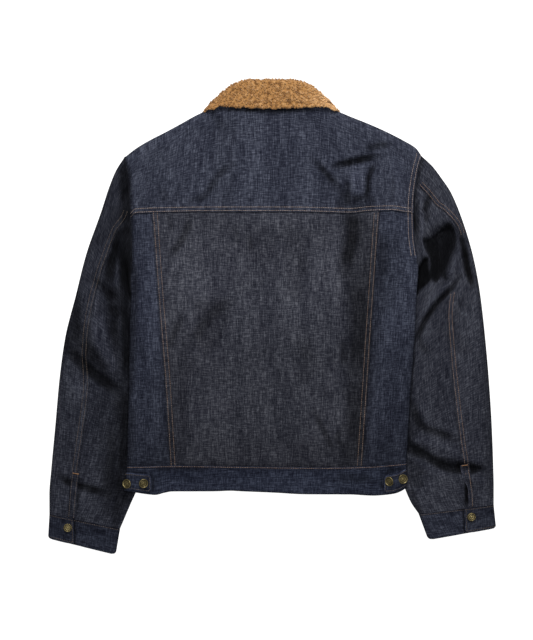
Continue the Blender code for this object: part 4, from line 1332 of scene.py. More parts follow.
def tab_grid(side):
    """The tab's outline: straight along the band, rounded at its tip."""
    tab, way = HEM_TAB[side], WAY[side]
    start = BODY_EDGE(side, -285.0)
    length = abs(tab["tip"] - start)
    from_edge = np.concatenate(
        [
            SIDE_ROUND * (1 - np.cos(np.linspace(0.3, 1.5, 8))),
            np.linspace(14.5, length - 7, TAB_COLUMNS),
            length - 7 + 7 * np.sin(np.linspace(0.12, math.pi / 2, 9)),
        ]
    )
    level = np.linspace(-1.0, 1.0, TAB_ROWS)
    middle, tall = (tab["low"] + tab["high"]) / 2, (tab["high"] - tab["low"]) / 2
    x = start + way * from_edge[None, :] + 0 * level[:, None]
    kept = mix(0.5, 1.0, bulge(length - from_edge, 6.0))[None, :]
    y = HEM("y", x) + middle + level[:, None] * tall * kept
    y = y + tab["rise"] * (from_edge / length)[None, :] * (0.5 + 0.5 * level[:, None])
    return x, y


def at_tab(x, y):
    lift = TAB_CLEAR + TAB_WALL + 0.25 * np.sin(x * 0.45)
    return at_band(x, y) + np.stack([0 * x, 0 * x, lift], axis=-1)


def build_tabs():
    for side in SIDES:
        x, y = tab_grid(side)
        points = at_tab(x, y)
        level = np.linspace(-1.0, 1.0, TAB_ROWS)[:, None]
        inwards = np.minimum((1 - np.abs(level)) * 14.0, np.abs(x - HEM_TAB[side]["tip"]))
        # Painted highlight along the tab's edge, and painted shade a little inside it.
        shade = -0.95 * smooth(2.2, 0.4, inwards) + 0.3 * np.exp(-(((inwards - 4.0) / 1.6) ** 2))
        denims = (DENIM_BAND, DENIM_BAND)
        lie = {"flip": side == "right", "rim": 0.35, "origin": (150, 900), "crosswise": True}
        piece = cloth("tab_" + side, points, TAB_WALL, denims, shade, **lie)
        keep(piece, "hem_tab_" + side)


# ---- the sleeves' pieces


def ring_shares(side, along, which):
    """Shares across a sleeve's sections, and which of them are on its upper face."""
    table = SLEEVE[side]
    width = section_width(table, along)[:, None]
    seam = table("seam", along)[:, None]
    thick, tucked = table("thick", along)[:, None], table("tucked", along)[:, None]
    steps, turns = SEAM_STEPS[None, :], ROUNDED[None, :]
    if which == "outer":
        round_by = SLEEVE_ROUND["outer"] * thick
        near = np.minimum(round_by, 0.7 * seam * width - 2) * turns / width
        close = np.minimum(steps, 0.25 * seam * width) / width
        inner = np.linspace(0, 1, steps_for(55, GRID) + 1)[None, 1:-1]
        between = mix(near[:, -1:], seam - close[:, -1:], inner)
        above = np.concatenate([near, between, seam - close[:, ::-1]], axis=1)
        near_down = round_by * turns / width
        low = UNDER_SEAM - 1.0 / width
        inner = np.linspace(0, 1, steps_for(110, HIDDEN_GRID) + 1)[None, 1:]
        below = np.concatenate([near_down, mix(near_down[:, -1:], low, inner)], axis=1)[:, ::-1]
        shares = np.concatenate([below, above[:, 1:]], axis=1)
        is_up = np.arange(shares.shape[1]) >= below.shape[1] - 1
        return shares, is_up[None, :]
    near = 1.0 - SLEEVE_ROUND["inner"] * tucked * turns / width
    close = steps / width
    inner = np.linspace(0, 1, steps_for(105, GRID) + 1)[None, 1:-1]
    between = mix(seam + close[:, -1:], near[:, -1:], inner)
    above = np.concatenate([seam + close, between, near[:, ::-1]], axis=1)
    high = UNDER_SEAM + 1.0 / width
    inner = np.linspace(0, 1, steps_for(35, HIDDEN_GRID) + 1)[None, 1:]
    below = np.concatenate([near, mix(near[:, -1:], high, inner)], axis=1)
    shares = np.concatenate([above, below[:, 1:]], axis=1)
    is_up = np.arange(shares.shape[1]) < above.shape[1]
    return shares, is_up[None, :]


def sleeve_rows():
    weights, offsets = spread(SEAM_STEPS * 0.8, END_STEPS, steps_for(SLEEVE_LENGTH, GRID))
    return weights + offsets / SLEEVE_LENGTH


def sleeve_relief(side, points, along, share, which, up):
    """The lapped back seam of a sleeve: the outer piece lies over the inner one, and shade is painted on the
    inner one beside it.
    """
    table = SLEEVE[side]
    width = section_width(table, along)
    distance = np.abs(share - table("seam", along)) * width
    relief = lapped(distance, *SLEEVE_LAP) if which == "outer" else -pulled_under(distance) * SLEEVE_LAP[1]
    shade = smooth(3.0, 0.2, distance) * (0.0 if which == "outer" else 0.45)
    hidden = smooth(0.03, 0.012, along) + 0 * share
    if side == "right":
        hidden = hidden + smooth(0.215, 0.24, along) * smooth(0.345, 0.325, along)
    points[..., 2] += np.where(up, relief * (1 - hidden), 0.0)
    return np.where(up, shade * (1 - hidden), 0.0)


def tucked_start(points, side, facing):
    """A last row that reaches in under the body's edge, so that the armhole has no gap."""
    start = points[:1].copy()
    start[..., 0] += WAY[side] * 4.5
    start[..., 2] -= 5.2 * facing[:1, :, 2]
    return np.concatenate([start, points])


def build_sleeves():
    along = sleeve_rows()
    for side in SIDES:
        for which in ("outer", "inner"):
            share, up = ring_shares(side, along, which)
            lengthwise = along[:, None] + 0 * share
            points = sleeve_surface(side, lengthwise, share, up)
            seam_shade = sleeve_relief(side, points, lengthwise, share, which, up)
            shade = sleeve_shade(side, points, lengthwise)
            shade = np.where(up, np.where(seam_shade > 0, np.maximum(seam_shade, shade), shade), 0.0)
            facing = sleeve_facing(side, lengthwise, share, up)
            points = tucked_start(points, side, facing)
            shade = np.concatenate([shade[:1], shade])
            facing = np.concatenate([facing[:1], facing])
            if side == "left":
                points, shade, facing = points[::-1], shade[::-1], facing[::-1]
            name = f"sleeve_{side}_{which}"
            origin = {"outer": (900, 100), "inner": (1200, 300)}[which]
            faces = (SLEEVE_DENIM[side], SLEEVE_LINING)
            piece = cloth(name + "_cloth", points, SLEEVE_WALL, faces, shade, origin=origin, facing=facing)
            keep(piece, name)


def strip_edge(side, along):
    """How far past the seam a strip's inner edge lies; the right one's is folded back below."""
    if side == "left":
        return 3.0 + 0 * along
    return mix(5.0, -1.6, smooth(0.845, 0.893, along)) + 0.5 * np.sin(along * 95.0)


def strip_point(side, along, aside):
    table = SLEEVE[side]
    share = table("seam", along) + aside / section_width(table, along)
    points = sleeve_surface(side, along, share, True)
    wave = 0.6 * np.sin(along * 120.0) * (0.4 if side == "left" else 1.0)
    points[..., 2] += 1.3 + wave * smooth(0.0, 1.0, (aside + 9.0) / 12.0)
    return points


def build_strips():
    for side in SIDES:
        along = np.linspace(0.994, VENT_TOP, 36)[:, None]
        share = np.linspace(0.0, 1.0, 9)[None, :]
        aside = mix(STRIP_OUTER[side], strip_edge(side, along), share)
        points = strip_point(side, along + 0 * aside, aside)
        # Painted highlight along the strip's folded inner edge, and painted shade along its outer edge.
        shade = -0.7 * smooth(0.8, 1.0, share) + 0.35 * smooth(0.12, 0.0, share) + 0 * along
        denims = (SLEEVE_DENIM[side], SLEEVE_DENIM[side])
        lie = {"flip": side == "right", "lift": 0.3, "rim": 0.4, "origin": (60, 1500)}
        piece = cloth("strip_" + side, points, STRIP_WALL, denims, shade, **lie)
        keep(piece, "vent_strip_" + side)


def cuff_point(side, along, share, up, lift):
    table = CUFF[side]
    x = mix(table("outer_x", along), table("inner_x", along), share)
    y = mix(table("outer_y", along), table("inner_y", along), share) - 0.3 * (1 - along)
    z = section_height(table, along, share, up) + lift
    return np.stack([x, y, z + 0 * x], axis=-1)


def cuff_step(share, lap=None):
    """How far a cuff's upper end rises or, past the lap, its lower end sinks."""
    if lap is None:
        return CUFF_STEP * smooth(0.04, 0.20, share)
    return -CUFF_STEP * smooth(0.16, 0.06, share - lap)


def cuff_shares(table, along, width, lap):
    """Shares round a cuff, from its upper end over the outer fold and back in under that end: which
    of them are on its upper face, and which belong to the end that lies on top."""
    near = SLEEVE_ROUND["outer"] * table("thick", along) * ROUNDED[None, :] / width
    far = 1.0 - SLEEVE_ROUND["inner"] * table("tucked", along) * ROUNDED[None, :] / width
    close = END_STEPS[None, :] / width
    top = mix(lap - close[:, -1:], near[:, -1:], np.linspace(0, 1, 14)[None, 1:-1])
    covered = mix(far[:, -1:], lap - CUFF_LAP, np.linspace(0, 1, 26)[None, 1:])
    under = mix(near[:, -1:], far[:, -1:], np.linspace(0, 1, 24)[None, 1:-1])
    on_top = (lap - close, top, near[:, ::-1])
    below = (near[:, 1:], under, far[:, ::-1])
    back_up = (far[:, 1:], covered)
    share = np.concatenate([*on_top, *below, *back_up], axis=1)
    first_count, below_count = (sum(part.shape[1] for part in parts) for parts in (on_top, below))
    column = np.arange(share.shape[1])[None, :]
    first = column < first_count
    return share, first | (column >= first_count + below_count), first


def build_cuffs():
    along = np.array((1.0, 0.985, 0.95, 0.9, 0.8, 0.65, 0.5, 0.35, 0.2, 0.1, 0.05, 0.015, 0.0))[:, None]
    for side in SIDES:
        table = CUFF[side]
        width, lap = section_width(table, along), table("seam", along)
        share, up, first = cuff_shares(table, along, width, lap)
        from_bottom = np.minimum(CUFF_CORNER, 40.0 * (1 - along))
        cut_off = CUFF_CORNER - np.sqrt(CUFF_CORNER**2 - (CUFF_CORNER - from_bottom) ** 2)
        share = share - np.where(first, cut_off / width * smooth(lap - CUFF_LAP, lap, share), 0.0)
        corner = 0.8 * cut_off / width
        share = share + corner * (smooth(0.07, 0.0, share) - smooth(0.93, 1.0, share))
        lift = np.where(up, np.where(first, cuff_step(share), cuff_step(share, lap)), 0.0)
        points = cuff_point(side, along + 0 * share, share, up, lift)
        # Painted shadow of the upper end on the cuff below its edge, a painted highlight along that edge,
        # the right cuff's upper end painted darker, and painted shade at the cuff's top beside the sleeve.
        beside = 0.85 * smooth(6.5, 0.5, (share - lap) * width)
        lap_edge_highlight = -0.25 * smooth(1.6, 0.2, (lap - share) * width)
        shade = np.where(up & ~first, beside, np.where(first, lap_edge_highlight, 0.0))
        shade = shade + np.where(up & first, CUFF_SHADE[side], 0.0)
        shade = np.maximum(shade, 0.5 * smooth(0.04, 0.0, along))
        denims = (CUFF_DENIM[side], CUFF_DENIM[side])
        lie = {"flip": side == "left", "rim": 0.4, "origin": (700, 1100), "crosswise": True}
        piece = cloth(f"cuff_{side}_cloth", points, BAND_WALL, denims, shade, **lie)
        keep(piece, "cuff_" + side)


# ---- the collar


def collar_sections(stations):
    """Rows from the outer edge over the fold to the neck, each from the left end to the right."""
    half = np.where(stations < 0, -1.0, 1.0)
    along = np.abs(stations)
    angle = np.radians(COLLAR("turned", along))
    zero = 0 * angle
    outwards = np.stack([half * np.sin(angle), zero, np.cos(angle)], axis=-1)
    off = np.stack([half * 0.5 * np.sin(angle), 0.87 * np.sin(angle), np.cos(angle)], axis=-1)

    def plan(name):
        x = CENTRE_X + half * COLLAR(name + "_x", along)
        return np.stack([x, COLLAR(name + "_y", along), zero + NECK_LEVEL], axis=-1)

    fold = plan("fold")
    fold[:, 1] -= 2.0 + 1.6 * smooth(0.2, 0.45, stations)
    lap = smooth(0.54, 0.70, along)
    neck_x = plan("neck")[:, 0]
    lift = np.where(stations < 0, lap_lift("left", neck_x), lap_lift("right", neck_x))
    over_lap = np.stack([zero, zero, (lift + 0.8) * lap], axis=-1)
    neck = plan("neck") + outwards * STAND_RISE + over_lap
    stand_top = fold + outwards * STAND_RISE + over_lap
    fall_top = fold + outwards * FALL_RISE
    edge = plan("edge") + off * FALL_RISE
    end = smooth(0.34, 0.22, along)
    edge[:, 1] += 2.2 * end - 9.0 * smooth(0.28, 0.38, along) * smooth(0.58, 0.48, along)
    middle = (stand_top + fall_top) / 2
    radius = np.linalg.norm(fall_top - stand_top, axis=1, keepdims=True) / 2
    along_fold = unit(fold - plan("neck"))
    across = unit(fall_top - middle)
    beyond = unit(along_fold - across * (along_fold * across).sum(axis=1, keepdims=True))
    rows = [mix(edge, fall_top, share) for share in np.linspace(0, 1, 24)]
    for turn in np.linspace(0, math.pi, 14)[1:-1]:
        rows.append(middle + (across * math.cos(turn) + beyond * math.sin(turn)) * radius)
    rows += [mix(stand_top, neck, share) for share in np.linspace(0, 1, 14)]
    return np.array(rows)


def clumps(u, v, size, seed):
    """Rounded lumps of uneven size: 1 on top of each and 0 between them."""
    random = np.random.RandomState(seed)
    table = random.rand(64, 64, 3)
    best = np.full(u.shape, 9.0)
    cell_u, cell_v = np.floor(u / size).astype(int), np.floor(v / size).astype(int)
    for du in (-1, 0, 1):
        for dv in (-1, 0, 1):
            jitter = table[(cell_u + du) % 64, (cell_v + dv) % 64]
            at_u = (cell_u + du + 0.15 + 0.7 * jitter[..., 0]) * size
            at_v = (cell_v + dv + 0.15 + 0.7 * jitter[..., 1]) * size
            reach = np.hypot(u - at_u, v - at_v) / (size * (0.6 + 0.3 * jitter[..., 2]))
            best = np.minimum(best, reach)
    return np.sqrt(np.clip(1.0 - best**2, 0.0, 1.0))


def build_collar():
    parts = (np.linspace(-1.0, -0.6, 48), np.linspace(-0.6, 0.6, 240)[1:], np.linspace(0.6, 1.0, 48)[1:])
    stations = np.concatenate(parts)
    points = collar_sections(stations)
    u, v = grain_of(points)
    middle = smooth(0.42, 0.10, np.abs(stations))[None, :]
    lumps = clumps(u / MM, v / MM, 7.5, 5) * mix(0.9, 1.5, middle) + clumps(u / MM, v / MM, 4.4, 8) * 0.7
    edge_row = np.linspace(0, 1, points.shape[0])[:, None]
    wavy = 0.9 * np.sin(u / MM * 0.11) * smooth(0.12, 0.0, edge_row)
    normals = normals_of(points)
    raised = points + normals * (PILE_WALL + lumps - 1.4 + wavy)[..., None]
    raised[:2, :, 1] -= 0.8 * np.sin(u[:2] / MM * 0.3) + 0.5
    # Painted light and shade on the pile: paler on the lumps' tops, darker in the middle and paler towards
    # both ends.
    painted_end_light = 0.52 * smooth(0.08, 0.4, stations) + 0.4 * smooth(-0.2, -0.9, stations)
    level = (lumps - lumps.mean()) / lumps.std()
    high = 0.48 + level * mix(0.05, 0.20, middle) - 0.2 * middle + painted_end_light
    piece = cloth("collar_pile_cloth", raised, PILE_WALL - 0.6, (PILE, PILE), rim=0.5, lump=high)
    keep(piece, "collar_pile")
    under = cloth("collar_under_cloth", points[::2, ::3], UNDERCOLLAR_WALL, (DENIM, DENIM), lift=-0.3)
    keep(under, "collar_under")
    return piece


# ---- buttons

BUTTON_FACE = (
    (0.0, 0.80, 0),
    (0.16, 0.84, 0),
    (0.30, 0.78, 0),
    (0.36, 0.62, 1),
    (0.42, 0.70, 0),
    (0.58, 0.74, 0),
    (0.66, 0.60, 1),
    (0.72, 0.62, 1),
    (0.78, 0.92, 0),
    (0.86, 1.0, 0),
    (0.94, 0.86, 0),
    (1.0, 0.45, 0),
    (0.92, 0.12, 0),
    (0.6, 0.0, 1),
    (0.0, 0.0, 1),
)


def turned_button(name, radius, spot, facing, steps=28):
    """A turned button with a raised rim and plain rings on its face."""
    points, faces, slots = [], [], []
    ring = [(math.cos(a), math.sin(a)) for a in np.arange(steps) * math.tau / steps]
    for r, z, _ in BUTTON_FACE[1:-1]:
        points += [(radius * r * c, radius * r * s, BUTTON_THICK * z) for c, s in ring]
    rows = len(BUTTON_FACE) - 2
    for row in range(rows - 1):
        for i in range(steps):
            j = (i + 1) % steps
            faces.append((row * steps + i, (row + 1) * steps + i, (row + 1) * steps + j, row * steps + j))
            slots.append(BUTTON_FACE[row + 2][2])
    top, bottom = len(points), len(points) + 1
    points += [(0, 0, BUTTON_THICK * BUTTON_FACE[0][1]), (0, 0, 0)]
    for i in range(steps):
        j = (i + 1) % steps
        faces.append((top, i, j))
        faces.append((bottom, (rows - 1) * steps + j, (rows - 1) * steps + i))
        slots += [0, 1]
    turn = Vector((0, 0, 1)).rotation_difference(Vector(facing)).to_matrix()
    placed = np.array([tuple(turn @ Vector(p)) for p in points]) + np.array(spot)
    mesh = bpy.data.meshes.new(name)
    mesh.from_pydata((placed * MM + SHIFT).tolist(), [], faces)
    mesh.materials.append(BRASS)
    mesh.materials.append(BRASS_DARK)
    mesh.polygons.foreach_set("material_index", slots)
    mesh.shade_smooth()
    return new_object(name, mesh)


def fasten(node, radius, spot, facing):
    keep(turned_button(node + "_turned", radius, spot, facing), node)


def build_buttons():
    for number, y in enumerate(BUTTON_ROWS, 1):
        fasten(f"front_button_{number}", BUTTON_RADIUS, (0, y, BUTTON_THICK), (0, 0, -1))
    for side in SIDES:
        tab = HEM_TAB[side]
        for number, (x, higher) in enumerate(tab["buttons"], 1):
            y = float(HEM("y", x)) + (tab["low"] + tab["high"]) / 2 + higher
            base = at_tab(np.array([x - 1, x + 1, x, x]), np.array([y, y, y - 1, y + 1]))
            facing = np.cross(base[1] - base[0], base[3] - base[2])
            facing /= np.linalg.norm(facing)
            facing = facing + np.array(BUTTON_TILT[side]) * (1.0 if number == 1 else -0.6)
            spot = base.mean(axis=0) + facing * 0.5
            fasten(f"hem_button_{side}_{number}", BUTTON_RADIUS, spot, facing)
        x, y = CUFF_BUTTONS[side]
        table = CUFF[side]
        share = (x - table("outer_x", 0.5)) / (table("inner_x", 0.5) - table("outer_x", 0.5))
        spot = (x, y, float(section_height(table, 0.5, share, True)) + (CUFF_STEP + 0.9))
        fasten("cuff_button_" + side, CUFF_BUTTON_RADIUS, spot, (0.02, 0.02, 1))


# ---- sewing


def link_values(tree, *pairs):
    for source, target in pairs:
        tree.links.new(source, target)


def stitch_tree():
    """Threads along every line of a mesh, lying on the cloth that the lines follow."""
    tree, given, made = new_tree(
        "stitches",
        "GeometryNodeTree",
        (
            ("Lines", "Geometry", None),
            ("Pitch", "Float", 0.0032),
            ("Length", "Float", 0.0025),
            ("Width", "Float", 0.0009),
            ("Rise", "Float", 0.0006),
            ("Thread", "Material", None),
        ),
        (("Threads", "Geometry"),),
    )
    add = Nodes(tree).add
    to_curve = add("GeometryNodeMeshToCurve")
    even = add("GeometryNodeResampleCurve", {"mode": "LENGTH"})
    tangent = add("GeometryNodeInputTangent")
    outward = add("GeometryNodeInputNamedAttribute", {"data_type": "FLOAT_VECTOR"}, Name="outward")
    upright = add("FunctionNodeAlignRotationToVector", {"axis": "Z"})
    ahead = add("FunctionNodeAlignRotationToVector", {"axis": "X", "pivot_axis": "Z"})
    thread = add("GeometryNodeMeshUVSphere", Segments=6, Rings=4, Radius=0.5)
    turned = add("GeometryNodeTransform", Rotation=(0.0, math.pi / 2, 0.0))
    size = add("ShaderNodeCombineXYZ")
    sized = add("GeometryNodeTransform")
    instances = add("GeometryNodeInstanceOnPoints")
    realize = add("GeometryNodeRealizeInstances")
    painted = add("GeometryNodeSetMaterial")
    link_values(
        tree,
        (given.outputs["Lines"], to_curve.inputs[0]),
        (to_curve.outputs[0], even.inputs["Curve"]),
        (given.outputs["Pitch"], even.inputs["Length"]),
        (outward.outputs[0], upright.inputs["Vector"]),
        (upright.outputs[0], ahead.inputs["Rotation"]),
        (tangent.outputs[0], ahead.inputs["Vector"]),
        (thread.outputs["Mesh"], turned.inputs["Geometry"]),
        (given.outputs["Length"], size.inputs[0]),
        (given.outputs["Width"], size.inputs[1]),
        (given.outputs["Rise"], size.inputs[2]),
        (turned.outputs[0], sized.inputs["Geometry"]),
        (size.outputs[0], sized.inputs["Scale"]),
        (even.outputs[0], instances.inputs["Points"]),
        (sized.outputs[0], instances.inputs["Instance"]),
        (ahead.outputs[0], instances.inputs["Rotation"]),
        (instances.outputs[0], realize.inputs[0]),
        (realize.outputs[0], painted.inputs["Geometry"]),
        (given.outputs["Thread"], painted.inputs["Material"]),
        (painted.outputs[0], made.inputs[0]),
    )
    return tree


STITCHES = stitch_tree()


def to_plain_mesh(source, name, settings, tree):
    """Runs a tree of geometry nodes on the source once, and keeps only the mesh that it makes."""
    modifier = source.modifiers.new("made", "NODES")
    modifier.node_group = tree
    names = {item.name: item.identifier for item in tree.interface.items_tree}
    for key, value in settings.items():
        modifier[names[key]] = value
    graph = bpy.context.evaluated_depsgraph_get()
    mesh = bpy.data.meshes.new_from_object(source.evaluated_get(graph))
    mesh.name = name
    mesh.shade_smooth()
    piece = new_object(name, mesh)
    bpy.data.objects.remove(source)
    return piece


def line_mesh(name, lines):
    """Lines of (points, outward directions) as one mesh of edges."""
    points, edges, outward = [], [], []
    for line, facing in lines:
        first = len(points)
        points += line.tolist()
        outward += facing.tolist()
        edges += [(first + i, first + i + 1) for i in range(len(line) - 1)]
    mesh = bpy.data.meshes.new(name)
    mesh.from_pydata((np.array(points) * MM + SHIFT).tolist(), edges, [])
    attribute = mesh.attributes.new("outward", "FLOAT_VECTOR", "POINT")
    attribute.data.foreach_set("vector", np.array(outward, np.float32).ravel())
    return new_object(name, mesh)


def facing_of(surface, first, second, steps=(0.6, 0.6)):
    """The direction that a surface looks in, at given places on it."""
    along = surface(first + steps[0], second) - surface(first - steps[0], second)
    across = surface(first, second + steps[1]) - surface(first, second - steps[1])
    return unit(np.cross(along, across))


def stitched(points, facing, way=1, lift=THREAD_LIFT):
    """A line of stitches lifted off the cloth, and the direction that each looks in."""
    facing = facing * np.where(way * facing[:, 2:] < 0, -1.0, 1.0)
    return points + facing * lift, facing


def upwards(points):
    facing = np.zeros_like(points)
    facing[:, 2] = 1.0
    return facing


def even_places(first, last, length):
    return np.linspace(first, last, max(3, int(abs(length) / 3.0)))


def on_back(x, y):
    return stitched(at_back(x, y), facing_of(at_back, x, y))


def on_front(side, x, y):
    surface = partial(at_front, side)
    return stitched(surface(x, y), facing_of(surface, x, y), way=-1)


def turn_between(first, second):
    return first[:, 0] * second[:, 1] - first[:, 1] * second[:, 0]


def on_sleeve(side, along, aside):
    """A line on a sleeve, at a distance in mm from its back seam: outer side below zero."""
    table = SLEEVE[side]
    share = table("seam", along) + aside / section_width(table, along)

    def surface(along, share):
        points = sleeve_surface(side, along, share, True)
        distance = np.abs(share - table("seam", along)) * section_width(table, along)
        points[..., 2] += np.where(share < table("seam", along), lapped(distance, *SLEEVE_LAP), 0.0)
        return points

    def plan(along, share):
        return sleeve_surface(side, along, share, True, crease=False)[..., :2]

    middle = table("seam", along)
    before, after = along - 0.004, along + 0.004
    seam_way = unit(plan(after, table("seam", after)) - plan(before, table("seam", before)))
    across = np.stack([seam_way[:, 1], -seam_way[:, 0]], axis=-1)
    inwards = plan(along, middle + 0.01) - plan(along, middle)
    across *= np.sign((inwards * across).sum(axis=-1, keepdims=True))
    goal = plan(along, middle) + across * np.reshape(aside, (-1, 1))
    for _ in range(6):
        here = plan(along, share)
        by_along = (plan(along + 0.001, share) - here) / 0.001
        by_share = (plan(along, share + 0.001) - here) / 0.001
        miss = goal - here
        turn = turn_between(by_along, by_share)
        turn = np.where(np.abs(turn) < 1.0, 1.0, turn)
        along = along + np.clip(turn_between(miss, by_share) / turn, -0.02, 0.02)
        share = share + np.clip(turn_between(by_along, miss) / turn, -0.02, 0.02)
        along = np.clip(along, 0.004, 0.996)
    return stitched(surface(along, share), facing_of(surface, along, share, (0.002, 0.005)))


def on_cuff(side, along, share, over=True):
    lift = cuff_step(share) if over else cuff_step(share, CUFF[side]("seam", along))
    points = cuff_point(side, along, share, np.full(np.shape(along), True), lift)
    return stitched(points, upwards(points))


def back_lines():
    lines = []
    y = even_places(-260, 180, 440)
    for offset in (2.4, 9.0):
        lines.append(on_back(BACK_SEAMS("left", y) + offset, y))
        lines.append(on_back(BACK_SEAMS("right", y) - offset, y))
    for offset in (2.2, 8.4):
        x = even_places(-247, 244, 490)
        curved = 9.0 * smooth(-236.0, -249.0, x)
        lines.append(on_back(x, YOKE_SEAM("y", x) + offset - curved))
    y = even_places(108, 284, 190)
    for offset in (2.8, 9.6):
        lines.append(on_back(BODY_EDGE("right", y) - offset, y))
    return lines


def band_lines():
    x = even_places(-249, 236, 485)
    y = BAND_SEAM("y", x) - 1.8
    return [stitched(at_band(x, y), facing_of(at_band, x, y))]


def front_lines():
    y = even_places(-258, 286, 545)
    return [on_front("left", LAP - offset + 0 * y, y) for offset in (3.0, 38.0)]


def tab_lines():
    lines = []
    for side in SIDES:
        x, y = tab_grid(side)
        middle = y.mean(axis=0)
        shrink = 1.0 - 2.2 / np.maximum(1.0, y[-1] - middle)
        top, bottom = middle + (y[-1] - middle) * shrink, middle + (y[0] - middle) * shrink
        way = WAY[side]
        tip = x[0, -1] - way * 2.2
        inside = (x[0] - tip) * way < -0.5
        row, top, bottom = x[0][inside], top[inside], bottom[inside]
        outline_x = np.concatenate([row, [tip], [tip], row[::-1]])
        outline_y = np.concatenate([top, [top[-1] - 2], [bottom[-1] + 2], bottom[::-1]])
        facing = facing_of(at_tab, outline_x, outline_y)
        lines.append(stitched(at_tab(outline_x, outline_y), facing, lift=0.2))
    return lines


SLEEVE_ROWS = {
    "left": ((0.02, 0.985, -2.4), (0.02, 0.985, -8.8)),
    "right": ((0.02, 0.225, -2.4), (0.02, 0.222, -8.0), (0.335, 0.985, -2.4), (0.33, 0.985, -8.0)),
}


def sleeve_lines(side):
    return [
        on_sleeve(side, even_places(first, last, SLEEVE_LENGTH * (last - first)), aside)
        for first, last, aside in SLEEVE_ROWS[side]
    ]


def strip_lines(side):
    lines = []
    along = even_places(VENT_TOP + 0.006, 0.99, 80)
    for aside in STRIP_ROWS[side]:
        points = strip_point(side, along, aside + 0 * along)
        points[:, 2] += 0.6
        lines.append((points, upwards(points)))
    return lines


def cuff_lines(side):
    table = CUFF[side]
    lap = float(table("seam", 0.05))
    upper = even_places(0.02, lap - 0.015, 45)
    lower = even_places(lap + 0.02, 0.97, 75)
    end = even_places(0.06, 0.9, 38)
    top = even_places(0.03, float(table("seam", 0.93)) - 0.035, 45)
    return [
        on_cuff(side, 0.05 + 0 * upper, upper),
        on_cuff(side, 0.05 + 0 * lower, lower, over=False),
        on_cuff(side, end, table("seam", end) - 2.2 / section_width(table, end)),
        on_cuff(side, 0.93 + 0 * top, top),
    ]


def bar_tack_lines():
    lines = []
    for side in SIDES:
        along = np.full(5, VENT_TOP + 0.002)
        for row in range(2):
            points = strip_point(side, along + row * 0.0011, np.linspace(-7.0, 2.6, 5))
            points[:, 2] += 0.9
            lines.append((points, upwards(points)))
    return lines


def sew(name, lines, thread=THREAD, **sizes):
    source = line_mesh(name + "_lines", lines)
    settings = {"Thread": thread, **{key: value * MM for key, value in sizes.items()}}
    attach(to_plain_mesh(source, name, settings, STITCHES), "root")


def build_sewing():
    sew("back_stitches", back_lines()[:4])
    sew("yoke_stitches", back_lines()[4:], LIT_THREAD)
    sew("waistband_stitches", band_lines())
    sew("tab_stitches", tab_lines(), SHADED_THREAD)
    sew("front_stitches", front_lines())
    for side in SIDES:
        thread = {"left": SHADED_THREAD, "right": THREAD}[side]
        sew(f"sleeve_{side}_stitches", sleeve_lines(side) + strip_lines(side), thread)
        sew(f"cuff_{side}_stitches", cuff_lines(side), SHADED_THREAD)
    sew("bar_tacks", bar_tack_lines(), BAR_THREAD, Pitch=1.6, Length=2.0, Width=0.9)


# ---- the collar's tufts


